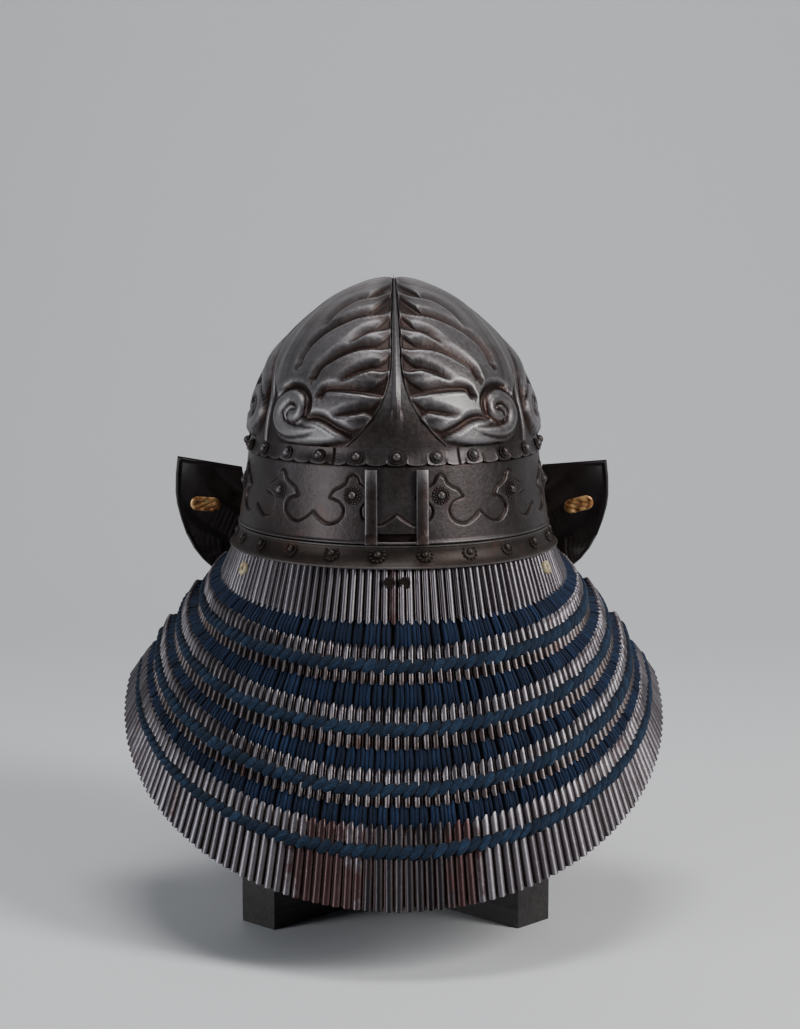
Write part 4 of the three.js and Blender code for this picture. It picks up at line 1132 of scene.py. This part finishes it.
def flange_rivets():
    batch = Batch()
    v, f, tone = rosette(petals=12, radius=4.9, dome=2.2, washer=0.85)
    low, high = grow(lerp(RIM, FLANGE_NECK, 0.4), -1.3), grow(lerp(RIM, FLANGE_NECK, 0.9), -1.1)
    for k in range(FLANGE_RIVETS):
        azimuth = 360 * (k + 0.5) / FLANGE_RIVETS - 1.5
        normal = wall_normal(low, high, azimuth)
        batch.add(placed(v, on_ring(lerp(low, high, 0.62), azimuth), normal), f, tone=tone * 0.85)
    batch.build("flange_rivets", IRON_FLANGE, "iron", (), 40)


flange_rivets()

# The neck guard's scales
random.seed(7)


def ring_length(base, start, end, steps=400):
    points = on_ring(base, np.linspace(start, end, steps))
    return np.concatenate([[0], np.cumsum(np.linalg.norm(np.diff(points, axis=0), axis=1))])


def even_azimuths(base, end, pitch, steps=400):
    """Azimuths of the middles of scales a pitch apart along a ring, evenly spread between its two ends."""
    run = ring_length(base, -end, end, steps)
    count = int(round(run[-1] / pitch))
    at = (np.arange(count) + 0.5) / count * run[-1]
    return np.interp(at, run, np.linspace(-end, end, steps)), run[-1] / count


# A scale's section on the top row, on the rows below and on the lowest row, from its right edge as worn to
# its left one: place across, height over the wall, how deep in a groove it is, and how far its head and its
# foot stand past the row's edges, in mm
TOP_SCALE = [
    (-0.50, -0.3, 1.0, 0.0, 0.4), (-0.42, 0.4, 0.6, 0.0, 0.0), (-0.30, 1.15, 0.1, 0.0, -0.9),
    (-0.12, 1.6, 0.0, 0.0, -1.7), (0.05, 1.45, 0.0, 0.0, -1.2), (0.20, 0.7, 0.4, 0.0, 0.0),
    (0.27, 0.1, 1.0, 0.0, 0.5), (0.34, 0.45, 0.5, 0.0, 0.2), (0.42, 0.55, 0.4, 0.0, 0.0),
    (0.50, -0.1, 1.0, 0.0, 0.4),
]
LOWER_SCALE = [
    (-0.50, -0.4, 1.0, -0.8, 0.5), (-0.45, 0.5, 0.6, 0.2, 0.0), (-0.38, 0.9, 0.45, 0.8, -0.3),
    (-0.31, 0.5, 0.65, 0.2, 0.0), (-0.27, -0.2, 1.0, -0.9, 0.7), (-0.21, -0.2, 1.0, -0.6, 0.7),
    (-0.16, 0.9, 0.4, 0.6, 0.0), (-0.09, 1.6, 0.0, 1.4, -0.6), (0.03, 1.75, 0.0, 0.9, -0.9),
    (0.17, 1.55, 0.0, 0.1, -0.9), (0.31, 1.1, 0.1, -0.9, -0.6), (0.43, 0.4, 0.5, -1.9, 0.0),
    (0.50, -0.4, 1.0, -2.2, 0.5),
]
EDGE_SCALE = [
    (-0.50, -0.1, 1.0, -0.4, 0.1), (-0.45, 0.25, 0.85, 0.4, 0.05), (-0.38, 0.75, 0.35, 1.2, 0.0),
    (-0.28, 1.15, 0.1, 1.8, -0.1), (-0.12, 1.5, 0.0, 1.6, -0.2), (0.04, 1.55, 0.0, 0.9, -0.2),
    (0.18, 1.3, 0.05, 0.0, -0.15), (0.30, 0.85, 0.25, -0.8, -0.05), (0.38, 0.35, 0.7, -1.4, 0.0),
    (0.43, 0.1, 0.95, -1.6, 0.1), (0.50, -0.1, 1.0, -1.6, 0.1),
]


# The lowest row's worn zones, as azimuth, half width and amount, and the middle and half width of its
# black zone
WORN_ZONES = ((14.5, 11, 0.42), (-13.5, 5, 0.42), (-60, 12, 0.1), (70, 14, 0.1))
BLACK_ZONE = (-2, 8.3)
# How far each row's scales, laces and braid stop short of its ends, in degrees
SCALES_SHORT, LACES_SHORT, BRAID_SHORT = 0.6, 0.8, 1.2


def backing(batch, low, high, end, out, **attributes):
    """A thin sheet behind a row, which closes the slits between its pieces. Its callers paint it dark, as the
    shade in the slits.
    """
    azimuths = np.linspace(-end, end, 81)
    front = np.array([on_ring(grow(base, out), azimuths) for base in (low, high)])
    back = np.array([on_ring(grow(base, out - 0.6), azimuths) for base in (low, high)])
    v, f = closed_sheet(front, back)
    batch.add(v, flipped(f), **{k: fill(len(v)) for k, fill in attributes.items()})


def lame_piece(number, pitch):
    """A row of scales: each has a ridge, a groove and a slanted head, and overlaps the next."""
    end, head, edge = LAMES[number]
    end -= SCALES_SHORT
    azimuths = even_azimuths(lerp(edge, head, 0.5), end, pitch)[0]
    turns = 2 * end / len(azimuths)
    is_last = number == len(LAMES) - 1
    section = TOP_SCALE if number == 0 else EDGE_SCALE if is_last else LOWER_SCALE
    across, rise, groove, head_up, foot_up = np.array(section).T
    height = head[3] - edge[3]
    rows = 10 if is_last else 8
    share = np.linspace(0, 1, rows + 1)[:, None]
    near_head = smooth(share, 0.72, 1)
    near_foot = 1 - smooth(share, 0, 0.25)
    batch = Batch()
    for azimuth in azimuths:
        wobble = random.uniform(-0.35, 0.35)
        sunk = random.uniform(-0.15, 0.15)
        slant = random.uniform(-0.1, 0.1)
        worn = worn_at(number, azimuth)
        is_black = is_last and abs(azimuth - BLACK_ZONE[0]) < BLACK_ZONE[1]
        tint = 0.12 * random.random() if is_black else random.uniform(0.3, 1)
        az = azimuth + across[None] * turns + slant * turns * (share - 0.5)
        up = share + (near_head * (head_up + wobble) + near_foot * foot_up * 1.3) / height
        base = lerp(edge[None, None], head[None, None], up[..., None])
        out = rise[None] * lerp(1.0, 0.8, share) + sunk + 0.35
        out = out * (1 - 0.5 * near_head**3) + 0.2 * near_head
        front = on_ring(grow_each(base, out), az)
        back = on_ring(grow_each(base, np.full_like(out, -1.2)), az)
        v, f = closed_sheet(front, back)
        # The backs count as deep in a groove, painted dark as shade
        deep = np.concatenate([np.tile(groove, rows + 1), np.ones(len(v) // 2)])
        # Each scale is darker and rust-brown below the braid, as rust and the braid's painted shadow; not on
        # the top and lowest rows
        grime = 0 * share if is_last or number == 0 else 1 - smooth(share, 0.0, 0.5)
        grime = np.tile(np.repeat(grime, len(across)), 2)
        batch.add(v, flipped(f), groove=deep, worn=worn, tint=tint, grime=grime)
    # The backing is painted as a full groove, dark as the shade in the slits
    backing(
        batch, lerp(edge, head, 0.04), lerp(edge, head, 0.96), end, -0.7,
        groove=np.ones, worn=np.zeros, tint=np.zeros, grime=np.zeros,
    )
    name = f"lame_{number + 1}"
    return batch.build(name, SCALES, "scales", (name,), 50)


def grow_each(bases, outs):
    """Rings grown out, each place by its own amount."""
    grown = np.broadcast_to(bases, (*outs.shape, 4)).copy()
    grown[..., 0] += outs
    grown[..., 1] += outs
    return grown


def worn_at(number, azimuth):
    """How worn to brown a scale is: some zones of the lowest row, and odd scales everywhere."""
    worn = 0.0
    if number == len(LAMES) - 1:
        for middle, half, amount in WORN_ZONES:
            worn = max(worn, amount * max(0.0, 1 - ((azimuth - middle) / half) ** 2))
    if random.random() < 0.04:
        worn += random.uniform(0.05, 0.22)
    return worn


PITCHES = (4.9, 5.6, 5.65, 5.7, 5.9)
for number, pitch in enumerate(PITCHES):
    lame_piece(number, pitch)


# The laces between the rows
LACE_PITCH = 5.8


def half_round(x):
    return np.sqrt(np.clip(1 - x**2, 0, 1))


def lacing_piece(number):
    """Silk laces side by side, each of two strands, that come out from under the row above."""
    upper_edge = LAMES[number][2]
    end, lower_head, lower_edge = LAMES[number + 1]
    middle = lerp(lower_head, upper_edge, 0.5)
    path = np.array([
        grow(lerp(lower_edge, lower_head, 0.9), -LAME_WALL - 0.2),
        grow(lower_head, -1.9),
        grow(lerp(lower_head, upper_edge, 0.25), -0.6),
        grow(lerp(lower_head, upper_edge, 0.75), -0.9),
        grow(upper_edge, -1.5, -0.2),
        grow(upper_edge, -LAME_WALL - 0.6, 1.6),
    ])
    end -= LACES_SHORT
    azimuths = even_azimuths(middle, end, LACE_PITCH)[0]
    turns = 2 * end / len(azimuths)
    batch = Batch()
    steps, sides = 9, 11
    place = np.linspace(0, len(path) - 1, steps)
    i = np.minimum(place.astype(int), len(path) - 2)
    bases = lerp(path[i], path[i + 1], (place - i)[:, None])
    along = np.linspace(0, 1, steps)
    k = np.linspace(-1, 1, sides)
    # A cord narrows to a rounded end where it comes out from under the row above
    round_end = np.sqrt(np.clip(1 - np.clip((along - 0.72) / 0.28, 0, 1) ** 2, 0.05, 1))
    narrow = 0.25 + 0.75 * round_end
    strands = 0.6 * half_round(k) + 0.4 * half_round(2 * np.abs(k) - 1)
    for azimuth in azimuths:
        lean = random.uniform(-0.26, 0.26) * turns
        bulge = random.uniform(-0.3, 0.4)
        width = random.uniform(1.0, 1.14)
        tint = random.random()
        front, back = [], []
        for s, t in enumerate(along):
            az = azimuth + k * 0.5 * turns * width * narrow[s]
            out = (2.4 + bulge) * strands * (0.4 + 0.6 * round_end[s]) - 0.6
            out = out + 0.6 * math.sin(math.pi * t)
            front.append(on_ring(grow_each(bases[s], out), az + lean * math.sin(math.pi * t)))
            back.append(on_ring(grow(bases[s], -1.3), az))
        v, f = closed_sheet(np.array(front), np.array(back))
        cross = np.tile(k, steps)
        grain = np.stack([cross * 2.9, np.full_like(cross, azimuth * 3.7), np.repeat(along, sides) * 15], -1)
        # Painted shade on the cord's edges and along the line between its two strands
        fold = np.tile(np.maximum(np.abs(k) ** 4, 0.75 * np.exp(-((k / 0.16) ** 2))), steps)
        batch.add(
            v, flipped(f), grain=np.concatenate([grain, grain]), tint=tint,
            fold=np.concatenate([fold, np.ones_like(fold)]),
        )
    # The backing is painted as a full crease, dark as the shade behind the laces
    backing(
        batch, lerp(lower_edge, lower_head, 0.93), lerp(lower_head, upper_edge, 1.12), end, -2.4,
        grain=lambda n: np.zeros((n, 3)), tint=np.zeros, fold=np.ones,
    )
    name = f"lacing_{number + 1}"
    return batch.build(name, LACING, "lacing", (name,), 60)


for number in range(4):
    lacing_piece(number)


# The braids on the faces of the rows
BRAID_PITCH = 6.7


def braid_piece(number):
    """A rope of slanted lobes along a row, each lobe lapping the next."""
    end, head, edge = LAMES[number]
    height = head[3] - edge[3]
    middle = lerp(edge, head, 0.79 if number == 4 else 0.66) + np.array([0, 0, -4.0, -4.0])
    end -= BRAID_SHORT
    azimuths, pitch = even_azimuths(grow(middle, 1.5), end, BRAID_PITCH)
    turns = 2 * end / len(azimuths)
    slope = (head - edge) / height
    batch = Batch()
    lobes, around = 12, 12
    axial = np.linspace(-1, 1, lobes)[:, None]
    angle = np.linspace(0, 2 * math.pi, around, endpoint=False)[None]
    full = np.clip(1 - np.abs(axial) ** 2.6, 0.0, 1) ** 0.5
    full[0] = full[-1] = 0.15
    for azimuth in azimuths:
        tint = random.random()
        swell = random.uniform(0.93, 1.1)
        steep = math.radians(random.uniform(32, 42))
        length, width, depth = 6.3, 3.0 * swell, 2.5 * swell
        shift = random.uniform(-0.3, 0.3)
        side = width * full * np.cos(angle)
        across = length * axial * math.cos(steep) - side * math.sin(steep)
        up = length * axial * math.sin(steep) + side * math.cos(steep) + shift
        out = 2.7 + depth * full * np.sin(angle) + 0.8 * axial
        out = np.maximum(out, 0.4)
        bases = middle + up[..., None] * slope + out[..., None] * np.array([1, 1, 0, 0])
        v = on_ring(bases, azimuth - across / pitch * turns).reshape(-1, 3)
        faces = grid_faces(around, lobes - 1, loop=True, flip=True)
        faces.append(tuple(range(around)))
        faces.append(tuple(range(len(v) - 1, len(v) - around - 1, -1)))
        grain = (side * 1.1, azimuth * 3.1 + 2.6 * np.sin(angle) * full, length * axial)
        grain = np.stack(np.broadcast_arrays(*grain), -1)
        # Painted shade where a lobe turns inward and at its ends, in the creases between lobes
        fold = 1 - np.clip(full * (0.25 + 0.75 * np.clip(np.sin(angle), 0, 1)) * 1.25, 0, 1)
        batch.add(v, faces, grain=grain.reshape(-1, 3), tint=tint, fold=fold.ravel())
    name = f"braid_{number + 1}"
    return batch.build(name, BRAID, "braid", (name,), 60)


for number in range(1, 5):
    braid_piece(number)


# Grommets on the top row, and its two lace holes, as profiles of radius and height
GROMMET = [
    (4.3, -1.2), (4.4, 0.6), (4.0, 1.3), (3.2, 1.6), (2.4, 1.3), (1.9, 0.8), (1.6, 0.2), (1.2, -0.3),
    (0, -0.35),
]
GROMMET_AZIMUTH = 62.5
LACE_HOLE = [(3.5, -1.5), (3.5, 2.3), (3.3, 2.6), (2.95, 2.6), (2.75, 2.3), (2.7, 2.0), (0, 2.0)]
LACE_HOLE_X = 4.6


def grommets():
    head, edge = LAMES[0][1:]
    for side_name, side in SIDES:
        batch = Batch()
        normal = wall_normal(edge, head, side * GROMMET_AZIMUTH)
        origin = on_ring(grow(lerp(edge, head, 0.5), 1.6), side * GROMMET_AZIMUTH)
        v, f = lathe(GROMMET, 28)
        # The hole in the middle is painted dark, as shade
        tone = np.clip((np.hypot(v[:, 0], v[:, 1]) - 1.2) / 0.8, 0, 1)
        batch.add(placed(v, origin, normal), f, tone=tone)
        name = f"grommet_{side_name}"
        batch.build(name, BONE, "bone", (name,), 50)
    batch = Batch()
    middle = on_ring(lerp(edge, head, 0.62), 0)
    for side in (-1, 1):
        v, f = lathe(LACE_HOLE, 22)
        # The hole's floor is painted near black, as the shade inside the hole
        tone = np.where(v[:, 2] > 2.2, 0.3, -0.9)
        batch.add(placed(v, middle + np.array([side * LACE_HOLE_X, 0, 0]), (0, 1, 0)), f, tone=tone)
    batch.build("lace_hole_rims", IRON_FLANGE, "iron", (), 50)


grommets()


# The wings and their ornaments. The outline holds height, and how far in and out the wing reaches there, as
# shares of its height and width.
WING_ROOT = on_ring(LAMES[0][2], 120)
WING_WIDTH, WING_HEIGHT = 51, 76
WING_OUTLINE = [
    (0, 0.16, 0.38), (0.035, 0.11, 0.47), (0.07, 0.07, 0.55), (0.14, 0.03, 0.67), (0.23, 0, 0.78),
    (0.35, 0, 0.875), (0.48, 0, 0.94), (0.60, 0.02, 0.985), (0.70, 0.06, 1), (0.85, 0.10, 0.99),
    (1, 0.14, 0.96),
]


def wing_point(side, inward, up, raised):
    """A place on a wing from its shares across and up. The left wing's outer corner stands higher."""
    curl = 5 * (1 - smooth(up, 0, 0.3))
    tilt = (10 if side > 0 else 5) * (inward - 0.35) * up
    lean = 15 * (up - 0.25)
    return np.stack(
        [
            side * (WING_ROOT[0] - 1.5 + inward * WING_WIDTH - 0.2 * raised),
            WING_ROOT[1] - 2.8 + inward * 12 + lean + curl + raised,
            WING_ROOT[2] - 19 + up * WING_HEIGHT + tilt,
        ],
        -1,
    )


def wing_piece(side_name, side):
    rows, columns = 60, 36
    ups = np.linspace(0, 1, rows + 1)
    table = np.array(WING_OUTLINE)
    inner = np.interp(ups, table[:, 0], table[:, 1])
    outer = np.interp(ups, table[:, 0], table[:, 2])
    across = np.linspace(0, 1, columns + 1)
    inward = lerp(inner[:, None], outer[:, None], across[None])
    up = np.broadcast_to(ups[:, None], inward.shape)
    far = np.minimum((outer[:, None] - inward) * WING_WIDTH, (1 - up) * WING_HEIGHT)
    far = np.minimum(far, np.where(up < 0.5, (up + 0.01) * WING_HEIGHT, 99))
    rim = np.exp(-(((far - 1.0) / 0.8) ** 2))
    front = wing_point(side, inward, up, 1.2 + 0.7 * rim)
    back = wing_point(side, inward, up, -1.2 - 0.3 * rim)
    vertices, faces = closed_sheet(front, back)
    if side > 0:
        faces = flipped(faces)
    edge = np.clip(1 - far / 3.0, 0, 1)
    edge = np.concatenate([edge.ravel(), edge.ravel()])
    name = f"wing_{side_name}"
    add_mesh(name, vertices, faces, LACQUER, "lacquer", (name,), 50, edge=edge)


def badge_piece(side_name, side):
    """An oblong gilt ornament: a pillow with a row of small leaves."""
    rows, columns = 24, 48
    u = np.linspace(-1, 1, columns + 1)[None] * np.ones((rows + 1, 1))
    w = np.linspace(-1, 1, rows + 1)[:, None] * np.ones((1, columns + 1))
    length, width = 10.2, 4.9
    bound = np.clip(1 - np.clip((np.abs(u) - 0.5) / 0.5, 0, 1) ** 2, 0, 1) ** 0.5
    x = u * length
    y = w * width * bound
    pillow = np.clip(1 - np.abs(w) ** 4, 0, 1) * np.clip(1 - np.abs(u) ** 6, 0, 1)
    wave = 0.45 * np.sin(u * 9 + 2.2 * np.sin(w * 2.2)) * np.cos(w * 4.6 + 1.5 * u)
    height = 0.3 + (1.2 + wave) * pillow
    middle = wing_point(side, 0.62, 0.62, 1.5)
    right = wing_point(side, 0.72, 0.62, 1.5) - middle
    right /= np.linalg.norm(right)
    upward = wing_point(side, 0.62, 0.72, 1.5) - middle
    upward -= right * (upward @ right)
    upward /= np.linalg.norm(upward)
    turn = math.radians(13 if side < 0 else 0)
    c, s = math.cos(turn), math.sin(turn)
    right, upward = right * c + upward * s, upward * c - right * s
    normal = np.cross(right, upward)
    normal *= np.sign(normal[1])
    front = middle + x[..., None] * right + y[..., None] * upward + height[..., None] * normal
    back = middle + x[..., None] * right + y[..., None] * upward - 0.35 * normal
    vertices, faces = closed_sheet(front, back)
    if side > 0:
        faces = flipped(faces)
    name = f"wing_badge_{side_name}"
    add_mesh(name, vertices, faces, GILT, "gilt", (name,), 60)


for side_name, side in SIDES:
    wing_piece(side_name, side)
    badge_piece(side_name, side)


def visor_piece():
    """The brow plate, curved down towards its rolled rim."""
    columns, rows = 120, 20
    across = np.linspace(0, 1, columns + 1)
    azimuth = 180 + lerp(-50, 50, across)
    reach = lerp(8, 36, np.sin(np.pi * np.clip(across, 0, 1)) ** 0.7)
    front, back, edge = [], [], []
    for r in range(rows + 1):
        up = r / rows
        out = up * reach - 2
        fall = 0.3 + 15 * (up * reach / 36) ** 1.4
        roll = 0.8 * math.exp(-(((1 - up) / 0.06) ** 2))
        base = np.stack([grow(RIM, o, -f + roll) for o, f in zip(out, fall)])
        low = np.stack([grow(RIM, o, -f - 2.0) for o, f in zip(out, fall)])
        front.append(on_ring(base, azimuth))
        back.append(on_ring(low, azimuth))
        edge.append(np.full(columns + 1, max(0.0, 1 - (1 - up) / 0.08)))
    vertices, faces = closed_sheet(np.array(front), np.array(back))
    edge = np.concatenate([np.concatenate(edge)] * 2)
    add_mesh("visor", vertices, faces, LACQUER, "lacquer", ("visor",), 50, edge=edge)


visor_piece()


# The stand, and the shell behind the plates, keep their CAD shapes
def shown_cad(name, material, **attributes):
    """A CAD node that stays, with a finished material and its attributes on it."""
    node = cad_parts[name]
    node.data.materials.clear()
    node.data.materials.append(material)
    for key, make in attributes.items():
        co = np.array([v.co for v in node.data.vertices], float) / MM
        values = np.asarray(make(co), np.float32)
        kind, field = ("FLOAT_VECTOR", "vector") if values.ndim == 2 else ("FLOAT", "value")
        node.data.attributes.new(key, kind, "POINT").data.foreach_set(field, values.ravel())


for name in [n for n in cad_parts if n.startswith("bowl_")]:
    shown_cad(name, IRON, tone=lambda co: np.full(len(co), 0.2))


def along(angle):
    """Wood grain along a level direction."""
    c, s = math.cos(math.radians(angle)), math.sin(math.radians(angle))
    return lambda co: np.stack([co[:, 0] * c + co[:, 1] * s, co[:, 1] * c - co[:, 0] * s, co[:, 2]], -1)


for name in ("stand_post", "stand_head"):
    shown_cad(name, WOOD, grain=lambda co: co[:, [2, 0, 1]])
for name, angle in (("stand_beam_a", 45), ("stand_beam_b", -45)):
    shown_cad(name, WOOD, grain=along(angle))
    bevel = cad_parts[name].modifiers.new("softened", "BEVEL")
    bevel.width = 0.7 * MM
    bevel.segments = 2

# The camera, the floor and the lights, in metres
CAMERA_PLACE = (0.0247, 1.4997, 0.441)
CAMERA_PITCH = math.radians(7.40)
CAMERA_HEADING = (-0.0192, -0.9998)
CAMERA_LENS = 82.0
camera = bpy.data.objects.new("camera", bpy.data.cameras.new("camera"))
bpy.context.scene.collection.objects.link(camera)
camera.data.lens = CAMERA_LENS
camera.data.sensor_width = 36
camera.location = CAMERA_PLACE
level = math.cos(CAMERA_PITCH)
heading = Vector((CAMERA_HEADING[0] * level, CAMERA_HEADING[1] * level, -math.sin(CAMERA_PITCH)))
camera.rotation_euler = heading.to_track_quat("-Z", "Y").to_euler()
camera.data.clip_end = 20
bpy.context.scene.camera = camera

# The floor runs back and turns up in a quarter circle into a backdrop
FLOOR_BEND = 0.9
FLOOR_STEPS = 12
floor_mesh = bpy.data.meshes.new("floor")
profile = [(3.0, 0.0), (-FLOOR_BEND, 0.0)]
for k in range(1, FLOOR_STEPS + 1):
    a = math.radians(90 * k / FLOOR_STEPS)
    profile.append((-FLOOR_BEND - FLOOR_BEND * math.sin(a), FLOOR_BEND - FLOOR_BEND * math.cos(a)))
profile.append((-2 * FLOOR_BEND, 5.0))
floor_vertices = [(x, y, z) for y, z in profile for x in (-4.0, 4.0)]
floor_faces = [(2 * k, 2 * k + 2, 2 * k + 3, 2 * k + 1) for k in range(len(profile) - 1)]
floor_mesh.from_pydata(floor_vertices, [], floor_faces)
floor_mesh.polygons.foreach_set("use_smooth", [True] * len(floor_faces))
floor_mesh.materials.append(floor_material())
floor = bpy.data.objects.new("floor", floor_mesh)
bpy.context.scene.collection.objects.link(floor)


def light(name, place, target, size, energy, colour=(1, 1, 1)):
    data = bpy.data.lights.new(name, "AREA")
    data.shape = "RECTANGLE"
    data.size, data.size_y = size
    data.energy = energy
    data.color = colour
    made = bpy.data.objects.new(name, data)
    made.location = place
    made.rotation_euler = (Vector(target) - Vector(place)).to_track_quat("-Z", "Y").to_euler()
    bpy.context.scene.collection.objects.link(made)


AIM = (0, 0.02, 0.22)
light("key_right", (-1.5, 0.9, 1.3), AIM, (0.6, 1.0), 44, (1.0, 0.98, 0.95))
light("key_left", (1.6, 0.9, 0.45), AIM, (0.5, 1.0), 16, (0.95, 0.98, 1.0))
light("top", (0, 0.1, 1.9), AIM, (0.9, 0.6), 18)
light("front", (0.0, -1.9, 1.2), AIM, (1.6, 1.2), 10)

world = bpy.data.worlds.new("world")
world.use_nodes = True
world.node_tree.nodes["Background"].inputs["Color"].default_value = (0.85, 0.9, 1.0, 1)
world.node_tree.nodes["Background"].inputs["Strength"].default_value = 0.10
bpy.context.scene.world = world
